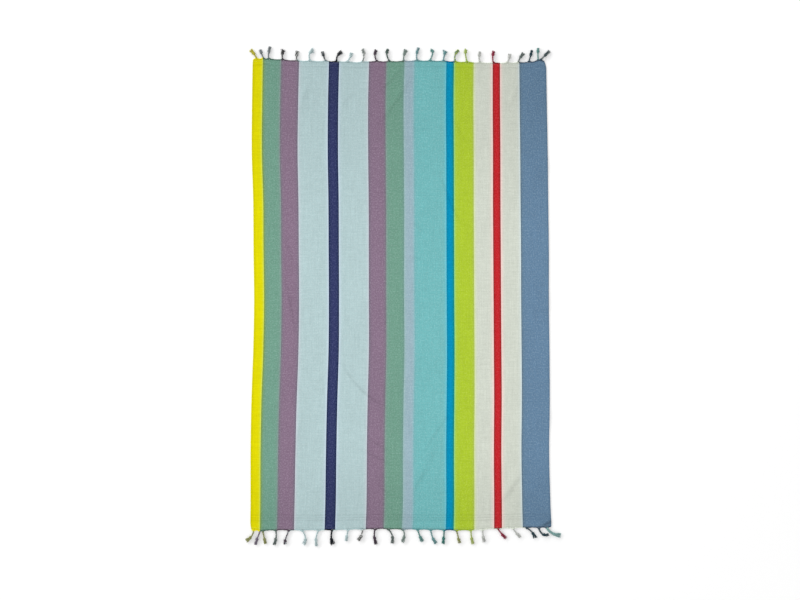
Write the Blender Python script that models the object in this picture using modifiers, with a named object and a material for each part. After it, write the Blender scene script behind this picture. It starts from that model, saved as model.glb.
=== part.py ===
"""Flat-woven cotton beach towel with knotted tassels, laid out flat on the floor.

The striped cloth is one uneven sheet: its selvedges and ends wander a little, a few
soft ripples lift it off the floor, and a denser header is woven at each end. Past each
end the warp threads gather into a scalloped rim, which is twisted and knotted into
tassels. All sizes are in metres. +X runs across the stripes, +Y along them and +Z up,
and the cloth lies on the floor at z = 0.
"""

import math
from bisect import bisect
from collections import namedtuple

import bmesh
import bpy
import numpy as np
from mathutils import Vector

TOWEL_NAME = "beach_towel"
GUIDES_NAME = "guides"

# The cloth
CLOTH_LENGTH = 1.570
CLOTH_THICKNESS = 0.0015
HEADER_THICKNESS = 0.0019
HEADER_DEPTH = 0.015
HEADER_STEP = 0.002
CELL = 0.0155

# The centre of the cloth, seen from the middle of the box that also holds the tassels
CLOTH_CENTRE = (-0.0105, 0.0032)

# The warp stripes from the left selvedge to the right one
Stripe = namedtuple("Stripe", "name width colour")
STRIPES = (
    Stripe("yellow", 0.033, "#E5D908"),
    Stripe("sage", 0.059, "#73A08C"),
    Stripe("mauve", 0.059, "#8B7488"),
    Stripe("aqua", 0.101, "#B2CDCC"),
    Stripe("navy", 0.035, "#353C65"),
    Stripe("aqua", 0.101, "#B2CDCC"),
    Stripe("mauve", 0.059, "#8B7488"),
    Stripe("sage", 0.061, "#73A08C"),
    Stripe("lilac", 0.034, "#9EB7C2"),
    Stripe("turquoise", 0.109, "#75BDBB"),
    Stripe("blue", 0.026, "#088FBC"),
    Stripe("lime", 0.067, "#B0CB36"),
    Stripe("stone", 0.065, "#D2D6C9"),
    Stripe("red", 0.026, "#CA2830"),
    Stripe("stone", 0.068, "#D2D6C9"),
    Stripe("denim", 0.094, "#647F9D"),
)
CLOTH_WIDTH = sum(stripe.width for stripe in STRIPES)
FRINGE_COLOUR = "#6E8A84"
COTTON_ROUGHNESS = 0.9

# How far five warp threads wander to the right, going down the cloth, and where they are
Sway = namedtuple("Sway", "down left left_inner middle right_inner right")
SWAYS = (
    Sway(0.000, 0.002, 0.007, 0.005, 0.001, -0.007),
    Sway(0.130, 0.000, 0.004, 0.002, 0.001, -0.005),
    Sway(0.300, -0.001, 0.002, 0.003, 0.002, -0.002),
    Sway(0.470, 0.004, 0.005, 0.004, 0.002, 0.000),
    Sway(0.640, 0.005, 0.006, 0.004, 0.003, 0.002),
    Sway(0.800, 0.007, 0.007, 0.004, 0.004, 0.002),
    Sway(0.970, 0.004, 0.005, 0.005, 0.005, 0.004),
    Sway(1.140, -0.002, -0.001, 0.002, 0.006, 0.005),
    Sway(1.310, -0.005, -0.005, 0.000, 0.005, 0.003),
    Sway(1.480, -0.005, -0.008, 0.000, 0.006, 0.007),
    Sway(1.570, -0.006, -0.010, -0.003, 0.006, 0.011),
)
SWAY_PLACES = {
    "left": 0.0, "left_inner": 0.151, "middle": 0.508, "right_inner": 0.809, "right": CLOTH_WIDTH
}

# How far each end stands out past its straight line, going right from the left selvedge.
# Each end is straight between these places, most of which are stripe edges.
EndSway = namedtuple("EndSway", "across top bottom")
END_SWAYS = (
    EndSway(0.000, 0.008, 0.002),
    EndSway(0.033, 0.010, 0.005),
    EndSway(0.092, 0.006, 0.002),
    EndSway(0.151, 0.002, 0.003),
    EndSway(0.287, 0.000, 0.002),
    EndSway(0.350, -0.003, 0.000),
    EndSway(0.388, 0.000, -0.001),
    EndSway(0.447, 0.000, -0.002),
    EndSway(0.508, 0.001, 0.000),
    EndSway(0.542, 0.003, 0.000),
    EndSway(0.651, 0.001, 0.002),
    EndSway(0.677, -0.001, 0.003),
    EndSway(0.744, -0.003, 0.003),
    EndSway(0.809, -0.005, -0.002),
    EndSway(0.903, -0.004, -0.006),
    EndSway(0.950, -0.001, -0.006),
    EndSway(0.973, 0.005, -0.006),
    EndSway(CLOTH_WIDTH, 0.001, -0.008),
)
END_SWAY_REACH = 0.120

# How far the rounding draws each corner in from its selvedge
Corner = namedtuple("Corner", "end side inward")
CORNERS = (
    Corner("top", "left", 0.001),
    Corner("top", "right", 0.005),
    Corner("bottom", "left", 0.003),
    Corner("bottom", "right", 0.001),
)
CORNER_REACH = 0.025

# The ripples: each runs from (x1, y1) to (x2, y2) from the cloth's centre, bowed
# sideways by the sagitta bow. It is flat again at half its width from that line.
Ripple = namedtuple("Ripple", "name x1 y1 x2 y2 bow width height")
RIPPLES = (
    Ripple("top_middle", 0.045, 0.760, -0.085, 0.555, 0.010, 0.056, 0.0018),
    Ripple("top_left", -0.300, 0.740, -0.340, 0.600, -0.008, 0.050, 0.0012),
    Ripple("top_right", 0.415, 0.750, 0.350, 0.610, 0.010, 0.054, 0.0014),
    Ripple("upper_slant", 0.138, 0.415, 0.226, 0.180, 0.010, 0.056, 0.0018),
    Ripple("left_slant", -0.405, 0.215, -0.350, -0.155, -0.006, 0.050, 0.0015),
    Ripple("middle_hook", -0.202, -0.215, 0.000, -0.405, -0.028, 0.054, 0.0018),
    Ripple("lower_left", -0.318, -0.345, -0.362, -0.540, 0.006, 0.052, 0.0014),
    Ripple("lower_right", 0.172, -0.390, 0.034, -0.690, -0.010, 0.058, 0.0020),
    Ripple("bottom_right", 0.408, -0.560, 0.335, -0.705, 0.006, 0.050, 0.0016),
    Ripple("lower_arc", -0.128, -0.465, -0.008, -0.545, -0.012, 0.050, 0.0014),
    Ripple("right_edge_high", 0.560, 0.470, 0.385, 0.410, 0.006, 0.110, 0.0018),
    Ripple("right_edge_middle", 0.560, -0.010, 0.400, -0.050, -0.006, 0.104, 0.0015),
    Ripple("right_edge_low", 0.570, -0.430, 0.385, -0.375, 0.008, 0.114, 0.0020),
    Ripple("left_edge_high", -0.555, 0.260, -0.410, 0.230, 0.005, 0.100, 0.0014),
    Ripple("left_edge_low", -0.565, -0.270, -0.395, -0.235, -0.006, 0.106, 0.0017),
)

# The gathered rim of warp threads past each end of the cloth
RIM_GAP = 0.0003
RIM_DEPTH = 0.0035
RIM_PEAK = 0.0035
RIM_PEAK_REACH = 0.011
RIM_THICKNESS = 0.0022

# Which way along Y each end faces
OUTWARD = {"top": 1, "bottom": -1}

# The least distance between two places of a grid, and the one that welds a cord's caps
LEAST_STEP = 0.0017
WELD_DISTANCE = 1e-6

# A tassel's cord has four sides: its flat base lies on the floor
CORD_WIDTH = 0.0050
CORD_HEIGHT = 0.0042
CORD_TOP_SHARE = 0.60
CORD_ROOT_INSET = 0.0045

# The tassel's shape on the way from its root to its tip, as a share of the cord's width
Girth = namedtuple("Girth", "along share")
GIRTHS = (
    Girth(0.00, 0.50),
    Girth(0.08, 1.25),
    Girth(0.20, 1.05),
    Girth(0.38, 1.00),
    Girth(0.56, 1.00),
    Girth(0.63, 1.70),
    Girth(0.74, 1.95),
    Girth(0.82, 1.45),
    Girth(0.92, 1.65),
    Girth(1.00, 1.00),
)

# Each tassel, from left to right: its root's place across the towel from the cloth's
# centre, then its knee and its tip, to the right of that root and out from the cloth
Tassel = namedtuple("Tassel", "root knee_right knee_out tip_right tip_out")
TOP_TASSELS = (
    Tassel(-0.484, -0.006, 0.012, -0.020, 0.029),
    Tassel(-0.461, -0.006, 0.015, -0.010, 0.029),
    Tassel(-0.443, 0.000, 0.018, 0.005, 0.040),
    Tassel(-0.396, -0.001, 0.016, 0.003, 0.033),
    Tassel(-0.347, -0.002, 0.014, 0.003, 0.031),
    Tassel(-0.304, -0.001, 0.023, 0.013, 0.035),
    Tassel(-0.251, -0.007, 0.016, -0.011, 0.032),
    Tassel(-0.214, 0.004, 0.019, 0.019, 0.031),
    Tassel(-0.177, 0.009, 0.015, 0.014, 0.029),
    Tassel(-0.126, 0.004, 0.024, -0.001, 0.042),
    Tassel(-0.079, -0.006, 0.020, 0.000, 0.037),
    Tassel(-0.037, -0.008, 0.024, -0.003, 0.040),
    Tassel(0.012, 0.001, 0.018, 0.008, 0.037),
    Tassel(0.057, -0.001, 0.021, 0.006, 0.042),
    Tassel(0.101, 0.009, 0.027, 0.001, 0.033),
    Tassel(0.146, 0.003, 0.020, 0.007, 0.033),
    Tassel(0.185, 0.001, 0.024, 0.013, 0.036),
    Tassel(0.225, -0.005, 0.027, -0.002, 0.041),
    Tassel(0.268, -0.002, 0.018, 0.001, 0.036),
    Tassel(0.313, -0.001, 0.021, 0.002, 0.039),
    Tassel(0.361, 0.006, 0.013, 0.008, 0.029),
    Tassel(0.398, 0.006, 0.014, 0.018, 0.031),
    Tassel(0.434, 0.005, 0.018, 0.010, 0.038),
    Tassel(0.465, -0.001, 0.023, 0.000, 0.040),
    Tassel(0.474, 0.011, 0.012, 0.029, 0.030),
)
BOTTOM_TASSELS = (
    Tassel(-0.494, -0.007, 0.019, -0.025, 0.034),
    Tassel(-0.472, -0.008, 0.021, -0.016, 0.045),
    Tassel(-0.463, 0.005, 0.022, 0.009, 0.043),
    Tassel(-0.419, 0.001, 0.024, -0.006, 0.049),
    Tassel(-0.375, -0.011, 0.029, -0.012, 0.046),
    Tassel(-0.330, 0.011, 0.024, 0.005, 0.047),
    Tassel(-0.275, -0.008, 0.024, -0.006, 0.053),
    Tassel(-0.229, -0.003, 0.024, 0.004, 0.047),
    Tassel(-0.175, -0.004, 0.018, -0.006, 0.037),
    Tassel(-0.128, -0.002, 0.018, -0.013, 0.037),
    Tassel(-0.084, -0.003, 0.021, 0.003, 0.050),
    Tassel(-0.040, 0.013, 0.021, 0.013, 0.047),
    Tassel(0.010, 0.004, 0.019, -0.003, 0.042),
    Tassel(0.059, 0.007, 0.020, 0.016, 0.039),
    Tassel(0.103, 0.006, 0.024, 0.018, 0.045),
    Tassel(0.148, -0.001, 0.021, -0.003, 0.046),
    Tassel(0.190, 0.006, 0.024, 0.010, 0.042),
    Tassel(0.239, 0.001, 0.021, 0.007, 0.045),
    Tassel(0.278, 0.001, 0.019, 0.005, 0.041),
    Tassel(0.330, 0.011, 0.015, 0.027, 0.032),
    Tassel(0.380, 0.011, 0.015, 0.026, 0.030),
    Tassel(0.426, 0.018, 0.014, 0.029, 0.034),
    Tassel(0.467, 0.020, 0.028, 0.036, 0.030),
    Tassel(0.494, 0.018, 0.018, 0.047, 0.026),
)


def linear_colour(hex_colour):
    """Turns an sRGB hex colour into Blender's linear RGBA."""
    channels = [int(hex_colour[i:i + 2], 16) / 255 for i in (1, 3, 5)]
    return [c / 12.92 if c <= 0.04045 else ((c + 0.055) / 1.055) ** 2.4 for c in channels] + [1]


def smooth_between(places, values, at):
    """Reads a smooth curve that passes through the values at their places."""
    at = min(max(at, places[0]), places[-1])
    i = next(n for n in range(len(places) - 1) if at <= places[n + 1])

    def slope(n):
        before, after = max(n - 1, 0), min(n + 1, len(places) - 1)
        return (values[after] - values[before]) / (places[after] - places[before])

    span = places[i + 1] - places[i]
    t = (at - places[i]) / span
    hermite = (2 * t**3 - 3 * t**2 + 1, t**3 - 2 * t**2 + t, 3 * t**2 - 2 * t**3, t**3 - t**2)
    pulls = (values[i], slope(i) * span, values[i + 1], slope(i + 1) * span)
    return sum(share * pull for share, pull in zip(hermite, pulls))


def column_of(rows, name):
    """Lists one named column of a table."""
    return [getattr(row, name) for row in rows]


def side_sway(across, down):
    """How far the cloth lies to the right of its straight place."""
    down_places = column_of(SWAYS, "down")
    sways = [smooth_between(down_places, column_of(SWAYS, name), down) for name in SWAY_PLACES]
    return np.interp(across, list(SWAY_PLACES.values()), sways)


def end_sway(end, across):
    """How far the named end stands out past its straight line."""
    return np.interp(across, column_of(END_SWAYS, "across"), column_of(END_SWAYS, end))


def corner_pull(across, down):
    """How far the corners' rounding draws the cloth to the right."""
    pull = 0.0
    for corner in CORNERS:
        from_end = down if corner.end == "top" else CLOTH_LENGTH - down
        from_side = across if corner.side == "left" else CLOTH_WIDTH - across
        nearness = max(1 - from_end / CORNER_REACH, 0) * max(1 - from_side / CORNER_REACH, 0)
        pull += nearness**2 * corner.inward * (1 if corner.side == "left" else -1)
    return pull


def on_cloth(across, down):
    """Maps a distance from the left selvedge and one from the top end to a place on the floor."""
    x = across - CLOTH_WIDTH / 2 + side_sway(across, down) + corner_pull(across, down)
    top_pull = max(1 - down / END_SWAY_REACH, 0) ** 2
    bottom_pull = max(1 - (CLOTH_LENGTH - down) / END_SWAY_REACH, 0) ** 2
    y = CLOTH_LENGTH / 2 - down
    y += top_pull * end_sway("top", across) - bottom_pull * end_sway("bottom", across)
    return Vector((x, y, 0))


def ripple_height(ripple, x, y):
    """The lift of one ripple at a place, with soft flanks and soft ends."""
    start = Vector((ripple.x1, ripple.y1))
    run = Vector((ripple.x2, ripple.y2)) - start
    side = Vector((-run.y, run.x)).normalized()
    offset = Vector((x, y)) - start
    along = offset.dot(run) / run.length_squared
    if not 0 < along < 1:
        return 0.0
    bowed = offset.dot(side) - ripple.bow * 4 * along * (1 - along)
    if abs(bowed) >= ripple.width / 2:
        return 0.0
    flank = math.cos(math.pi * bowed / ripple.width) ** 2
    return ripple.height * flank * math.sin(math.pi * along) ** 2


def cloth_height(x, y):
    """The height of the cloth's underside over the floor."""
    return max(ripple_height(ripple, x, y) for ripple in RIPPLES)


def stripe_edges():
    """Each stripe edge's distance from the left selvedge."""
    return [sum(stripe.width for stripe in STRIPES[:n]) for n in range(len(STRIPES) + 1)]


def cloth_columns():
    """Distances of the grid's columns from the left selvedge: none of its cells crosses a
    stripe's edge or a turn of the cloth's ends."""
    turns = sorted(stripe_edges() + column_of(END_SWAYS, "across"))
    places = [0.0]
    for turn in turns:
        gap = turn - places[-1]
        if gap < LEAST_STEP:
            continue
        cells = max(1, round(gap / CELL))
        places += [places[-1] + gap * cell / cells for cell in range(1, cells)] + [turn]
    return places


def cloth_rows():
    """Distances of the grid's rows from the top end, with a narrow row at each header's step."""
    inner = HEADER_DEPTH + HEADER_STEP
    count = round((CLOTH_LENGTH - 2 * inner) / CELL)
    body = [inner + (CLOTH_LENGTH - 2 * inner) * n / count for n in range(count + 1)]
    headers = [0.0, HEADER_DEPTH]
    return headers + body + [CLOTH_LENGTH - down for down in reversed(headers)]


def mapped_grid(name, columns, rows, place):
    """Makes a flat grid and moves each of its points to place(column, row)."""
    bpy.ops.mesh.primitive_grid_add(
        x_subdivisions=len(columns) - 1, y_subdivisions=len(rows) - 1, size=2
    )
    grid = bpy.context.object
    grid.name = grid.data.name = name
    for vertex in grid.data.vertices:
        i = round((vertex.co.x + 1) / 2 * (len(columns) - 1))
        j = round((1 - vertex.co.y) / 2 * (len(rows) - 1))
        vertex.co = place(columns[i], rows[j])
    return grid


def thicken(sheet, thickness):
    """Gives an open sheet its thickness, upwards from its underside."""
    solidify = sheet.modifiers.new("thickness", "SOLIDIFY")
    solidify.thickness = thickness
    solidify.offset = 1
    return solidify


def cotton(name, hex_colour):
    """A matt woven cotton of one colour."""
    material = bpy.data.materials.get(name) or bpy.data.materials.new(name)
    material.use_nodes = True
    shader = material.node_tree.nodes["Principled BSDF"]
    shader.inputs["Base Color"].default_value = linear_colour(hex_colour)
    shader.inputs["Roughness"].default_value = COTTON_ROUGHNESS
    shader.inputs["Metallic"].default_value = 0.0
    material.diffuse_color = linear_colour(hex_colour)
    return material


def move_to(obj, collection):
    """Takes an object out of its collections and puts it in this one."""
    for owner in list(obj.users_collection):
        owner.objects.unlink(obj)
    collection.objects.link(obj)


def make_cloth(collection):
    """The striped sheet with its ripples and its two thicker headers."""
    columns, rows = cloth_columns(), cloth_rows()
    middles = [(left + right) / 2 for left, right in zip(columns, columns[1:])]
    owners = [bisect(stripe_edges(), middle) - 1 for middle in middles]

    def place(across, down):
        point = on_cloth(across, down)
        point.z = cloth_height(point.x, point.y)
        return point

    cloth = mapped_grid("cloth", columns, rows, place)
    move_to(cloth, collection)
    for stripe in STRIPES:
        cloth.data.materials.append(cotton("cotton_" + stripe.name, stripe.colour))
    for row_start in range(0, len(cloth.data.polygons), len(owners)):
        for cell, owner in enumerate(owners):
            cloth.data.polygons[row_start + cell].material_index = owner
    header = cloth.vertex_groups.new(name="header")
    from_ends = [min(down, CLOTH_LENGTH - down) for down in rows]
    in_header = [
        vertex.index
        for vertex in cloth.data.vertices
        if from_ends[vertex.index // len(columns)] < HEADER_DEPTH + HEADER_STEP / 2
    ]
    header.add(in_header, 1.0, "REPLACE")
    solidify = thicken(cloth, HEADER_THICKNESS)
    solidify.vertex_group = header.name
    solidify.thickness_vertex_group = CLOTH_THICKNESS / HEADER_THICKNESS
    cloth.data.shade_smooth()
    return cloth


def end_edge(end):
    """The corners of the cloth's straight-sided end edge, from left to right."""
    return [on_cloth(across, 0 if end == "top" else CLOTH_LENGTH) for across in cloth_columns()]


def edge_y(edge, x):
    """How far up the floor an end edge lies at x."""
    return float(np.interp(x, [point.x for point in edge], [point.y for point in edge]))


def rim_depth(x, tassels):
    """The rim's depth from the cloth's edge: it peaks at each tassel's root."""
    nearest = min(abs(x - tassel.root) for tassel in tassels)
    peak = math.cos(math.pi / 2 * min(nearest / RIM_PEAK_REACH, 1)) ** 2
    return RIM_DEPTH + RIM_PEAK * peak


def rim_stations(edge, tassels):
    """Places across the floor where the rim's outline turns, with those of the cloth's edge."""
    turns = column_of(END_SWAYS, "across")
    stations = [
        point.x
        for across, point in zip(cloth_columns(), edge)
        if min(abs(across - turn) for turn in turns) < LEAST_STEP
        or min(across, CLOTH_WIDTH - across) < CORNER_REACH
    ]
    half_root = CORD_WIDTH / 2
    for tassel in tassels:
        for offset in (0, -half_root, half_root, -RIM_PEAK_REACH, RIM_PEAK_REACH):
            station = min(max(tassel.root + offset, edge[0].x), edge[-1].x)
            if min(abs(station - kept) for kept in stations) >= LEAST_STEP:
                stations.append(station)
    return sorted(stations)


def make_rim(name, end, tassels):
    """The narrow strip of gathered threads along one end of the cloth."""
    edge = end_edge(end)

    def place(x, outer):
        depth = rim_depth(x, tassels) if outer else RIM_GAP
        return Vector((x, edge_y(edge, x) + OUTWARD[end] * depth, 0))

    rows = (True, False) if end == "top" else (False, True)
    rim = mapped_grid(name, rim_stations(edge, tassels), rows, place)
    thicken(rim, RIM_THICKNESS)
    return rim


def make_cord_section(collection):
    """The outline of a cord, standing on the path that it is swept along."""
    curve = bpy.data.curves.new("cord_section", "CURVE")
    spline = curve.splines.new("POLY")
    half, top = CORD_WIDTH / 2, CORD_WIDTH / 2 * CORD_TOP_SHARE
    corners = ((-half, 0), (half, 0), (top, CORD_HEIGHT), (-top, CORD_HEIGHT))
    spline.points.add(len(corners) - 1)
    for point, (x, y) in zip(spline.points, corners):
        point.co = (x, y, 0, 1)
    spline.use_cyclic_u = True
    section = bpy.data.objects.new("cord_section", curve)
    section.hide_render = True
    section.display_type = "WIRE"
    collection.objects.link(section)
    return section


def tassel_path(end, tassel):
    """The tassel's centre line on the floor, as a function of the share along it."""
    out = OUTWARD[end]
    edge = edge_y(end_edge(end), tassel.root)
    root = Vector((tassel.root, edge + out * CORD_ROOT_INSET, 0))
    knee = root + Vector((tassel.knee_right, out * tassel.knee_out, 0))
    tip = root + Vector((tassel.tip_right, out * tassel.tip_out, 0))
    pull = 2 * knee - (root + tip) / 2
    return lambda t: (1 - t) ** 2 * root + 2 * t * (1 - t) * pull + t**2 * tip


def make_tassel(name, end, tassel, section, collection):
    """One twisted tassel with its knot and its loose end, as a closed mesh."""
    path = tassel_path(end, tassel)
    curve = bpy.data.curves.new(name, "CURVE")
    curve.dimensions = "3D"
    curve.twist_mode = "Z_UP"
    curve.bevel_mode = "OBJECT"
    curve.bevel_object = section
    curve.use_fill_caps = True
    spline = curve.splines.new("POLY")
    spline.points.add(len(GIRTHS) - 1)
    for point, girth in zip(spline.points, GIRTHS):
        point.co = (*path(girth.along), 1)
        point.radius = girth.share
    swept = bpy.data.objects.new(name, curve)
    collection.objects.link(swept)
    mesh = bpy.data.meshes.new_from_object(
        swept.evaluated_get(bpy.context.evaluated_depsgraph_get())
    )
    bm = bmesh.new()
    bm.from_mesh(mesh)
    bmesh.ops.remove_doubles(bm, verts=bm.verts, dist=WELD_DISTANCE)
    bmesh.ops.recalc_face_normals(bm, faces=bm.faces)
    bm.to_mesh(mesh)
    bm.free()
    strand = bpy.data.objects.new(name, mesh)
    strand.matrix_world = swept.matrix_world
    collection.objects.link(strand)
    bpy.data.objects.remove(swept)
    strand.hide_render = True
    strand.display_type = "WIRE"
    return strand


def make_fringe(end, tassels, section, collection, guides):
    """The rim at one end of the cloth, with its tassels joined on."""
    fringe = make_rim("fringe_" + end, end, tassels)
    move_to(fringe, collection)
    fringe.data.materials.append(cotton("cotton_fringe", FRINGE_COLOUR))
    strands = bpy.data.collections.new("strands_" + end)
    guides.children.link(strands)
    for number, tassel in enumerate(tassels, 1):
        make_tassel(f"strand_{end}_{number:02d}", end, tassel, section, strands)
    join = fringe.modifiers.new("tassels", "BOOLEAN")
    join.operation = "UNION"
    join.solver = "EXACT"
    join.operand_type = "COLLECTION"
    join.collection = strands
    return fringe


def centre_on_floor(objects):
    """Moves every piece so that the whole towel's box is centred over the origin."""
    for obj in objects:
        obj.location.x += CLOTH_CENTRE[0]
        obj.location.y += CLOTH_CENTRE[1]


def main():
    for obj in list(bpy.data.objects):
        bpy.data.objects.remove(obj, do_unlink=True)
    towel = bpy.data.collections.new(TOWEL_NAME)
    guides = bpy.data.collections.new(GUIDES_NAME)
    bpy.context.scene.collection.children.link(towel)
    bpy.context.scene.collection.children.link(guides)
    make_cloth(towel)
    section = make_cord_section(guides)
    make_fringe("top", TOP_TASSELS, section, towel, guides)
    make_fringe("bottom", BOTTOM_TASSELS, section, towel, guides)
    strands = [strand for group in guides.children for strand in group.objects]
    centre_on_floor(list(towel.objects) + strands)


main()
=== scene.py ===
"""Dresses a flat-woven cotton beach towel, laid out flat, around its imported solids.

The striped cloth stands for one solid. At each of its ends the gathered warp threads and
the knotted tassels stand for another. All sizes are in metres. +X runs across the
stripes, +Y along them and +Z up, and the towel lies on the floor at z = 0. A place on the
cloth is given by its distance from the left selvedge, across, and from the top end, down.
"""

import logging
import math
import random
from collections.abc import Sequence
from dataclasses import dataclass
from enum import Enum
from functools import lru_cache
from typing import ClassVar

import bpy
import numpy as np
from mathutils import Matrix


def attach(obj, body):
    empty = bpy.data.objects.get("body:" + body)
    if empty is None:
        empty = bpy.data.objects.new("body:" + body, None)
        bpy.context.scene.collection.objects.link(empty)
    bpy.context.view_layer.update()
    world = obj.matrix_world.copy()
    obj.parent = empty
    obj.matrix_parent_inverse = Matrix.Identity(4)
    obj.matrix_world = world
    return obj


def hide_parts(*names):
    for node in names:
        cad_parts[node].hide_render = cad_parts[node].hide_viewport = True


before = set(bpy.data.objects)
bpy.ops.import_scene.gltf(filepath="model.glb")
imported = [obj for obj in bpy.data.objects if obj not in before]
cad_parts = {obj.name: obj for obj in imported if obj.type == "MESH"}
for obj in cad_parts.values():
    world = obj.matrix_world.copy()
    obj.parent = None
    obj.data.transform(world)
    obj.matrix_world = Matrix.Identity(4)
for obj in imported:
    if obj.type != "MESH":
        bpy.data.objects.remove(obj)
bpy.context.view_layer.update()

log = logging.getLogger("beach_towel")
Tree, Socket = bpy.types.NodeTree, bpy.types.NodeSocket

BODY = "root"
DYE = "dye"
DISPLAY_GAMMA = 2.2
LIGHTNESS = (0.30, 0.59, 0.11)
METRES_MAP = "thread_metres"
BAKE_MAP = "OFBake"
# A direction that no thread follows
ODD_WAY = (0.31, 0.17, 0.94)
# Places that are nearer to each other than this are one place
TINY = 1e-6


class End(Enum):
    """One of the towel's two short ends."""

    TOP = "top"
    BOTTOM = "bottom"

    @property
    def outward(self) -> int:
        """Which way along Y the end faces."""
        return 1 if self is End.TOP else -1


class Side(Enum):
    """One of the towel's two selvedges."""

    LEFT = "left"
    RIGHT = "right"


class Yarn(Enum):
    """Dyes of the tassel yarns. A tassel takes warp ends from more than one stripe, and its
    twisted yarn looks greyer and darker than the cloth."""

    INK = "#1A2026"
    CHARCOAL = "#4A4A49"
    SLATE = "#2F4750"
    STEEL = "#67726F"
    ASH = "#82888A"
    MIST = "#86958F"
    BONE = "#C6C8C4"
    SEA = "#66948F"
    DEEP_SEA = "#458078"
    FOAM = "#86ACA9"
    OLD_GOLD = "#BBB43C"
    OLIVE = "#949764"
    PALE_LIME = "#ADBA72"
    DUSK = "#7B7280"
    CRIMSON = "#923449"


class WarpDye(Enum):
    """Dyes of the warp stripes."""

    YELLOW = "#E8DF00"
    SAGE = "#71A18D"
    MAUVE = "#8A7289"
    AQUA = "#B7D1D3"
    NAVY = "#313866"
    LILAC = "#9CB8C4"
    TURQUOISE = "#73BEC0"
    BLUE = "#0092C5"
    LIME = "#B2CF2E"
    STONE = "#D7DDD0"
    RED = "#D02028"
    DENIM = "#6586A4"


@dataclass(frozen=True)
class Stripe:
    """One warp stripe: the dye of its threads, and its width."""

    dye: WarpDye
    width: float


@dataclass(frozen=True)
class Sway:
    """How far five warp threads wander to the right at one place down the cloth."""

    down: float
    left: float
    left_inner: float
    middle: float
    right_inner: float
    right: float


@dataclass(frozen=True)
class EndSway:
    """How far each end stands out past its straight line at one place across."""

    across: float
    top: float
    bottom: float


@dataclass(frozen=True)
class Corner:
    """How far the rounding draws one corner in from its selvedge."""

    end: End
    side: Side
    inward: float


@dataclass(frozen=True)
class Fold:
    """A soft line from (x1, y1) to (x2, y2) from the cloth's centre, bowed by its sagitta."""

    x1: float
    y1: float
    x2: float
    y2: float
    bow: float
    width: float

    def share(self, x: np.ndarray, y: np.ndarray, softness: float) -> np.ndarray:
        """How much of the fold there is, with soft flanks and soft ends.

        Args:
            x: Places to the right of the cloth's centre.
            y: Places above the cloth's centre.
            softness: How early it fades towards its ends.

        Returns:
            1 in its middle and 0 outside it.
        """
        start = np.array((self.x1, self.y1))
        run = np.array((self.x2, self.y2)) - start
        length = np.hypot(*run)
        along = ((x - start[0]) * run[0] + (y - start[1]) * run[1]) / length**2
        aside = ((y - start[1]) * run[0] - (x - start[0]) * run[1]) / length
        bowed = aside - self.bow * 4 * along * (1 - along)
        inside = (along > 0) & (along < 1) & (np.abs(bowed) < self.width / 2)
        flank = np.cos(np.pi * bowed / self.width) ** 2
        return np.where(inside, flank * np.sin(np.pi * along) ** softness, 0.0)


@dataclass(frozen=True)
class Ripple(Fold):
    """A soft ripple that lifts the cloth off the floor."""

    height: float
    softness: ClassVar[float] = 2.0

    def lift(self, x: np.ndarray, y: np.ndarray) -> np.ndarray:
        """The ripple's height."""
        return self.height * self.share(x, y, self.softness)


@dataclass(frozen=True)
class Crease(Fold):
    """A fine crease, with painted shade: the dye is darkened along it by its shade, where less
    light comes into it.
    """

    shade: float
    height: ClassVar[float] = 0.0004
    softness: ClassVar[float] = 1.0

    def depth(self, x: np.ndarray, y: np.ndarray) -> np.ndarray:
        """How much of the crease there is."""
        return self.share(x, y, self.softness)


@dataclass(frozen=True)
class TasselLay:
    """Where one tassel lies: its root across the floor from the cloth's centre, then its
    knee and its tip, to the right of the root and out from the cloth. Its tuft and its cord
    may be wider than the others, and its tuft may fork. Its own dye shows where its threads
    were dyed apart from the stripe, and its second ply may have another dye again."""

    root: float
    knee_right: float
    knee_out: float
    tip_right: float
    tip_out: float
    tuft: float = 1.0
    dye: Yarn | None = None
    fork: float = 0.0
    girth: float = 1.0
    second: Yarn | None = None


@dataclass(frozen=True)
class ShadeAndDyePatch:
    """A soft patch of the cloth where the dyes are painted darker or paler than elsewhere. The
    darker patches are painted shade, where less light falls on the cloth.
    """

    across: float
    down: float
    reach_across: float
    reach_down: float
    change: float

    def at(self, across: np.ndarray, down: np.ndarray) -> np.ndarray:
        """The change at places on the cloth, as a share of the dye."""
        near = hump(across - self.across, self.reach_across)
        return self.change * near * hump(down - self.down, self.reach_down)


STRIPES = (
    Stripe(WarpDye.YELLOW, 0.033),
    Stripe(WarpDye.SAGE, 0.059),
    Stripe(WarpDye.MAUVE, 0.059),
    Stripe(WarpDye.AQUA, 0.101),
    Stripe(WarpDye.NAVY, 0.035),
    Stripe(WarpDye.AQUA, 0.101),
    Stripe(WarpDye.MAUVE, 0.059),
    Stripe(WarpDye.SAGE, 0.061),
    Stripe(WarpDye.LILAC, 0.034),
    Stripe(WarpDye.TURQUOISE, 0.109),
    Stripe(WarpDye.BLUE, 0.026),
    Stripe(WarpDye.LIME, 0.067),
    Stripe(WarpDye.STONE, 0.065),
    Stripe(WarpDye.RED, 0.026),
    Stripe(WarpDye.STONE, 0.068),
    Stripe(WarpDye.DENIM, 0.094),
)

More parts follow.
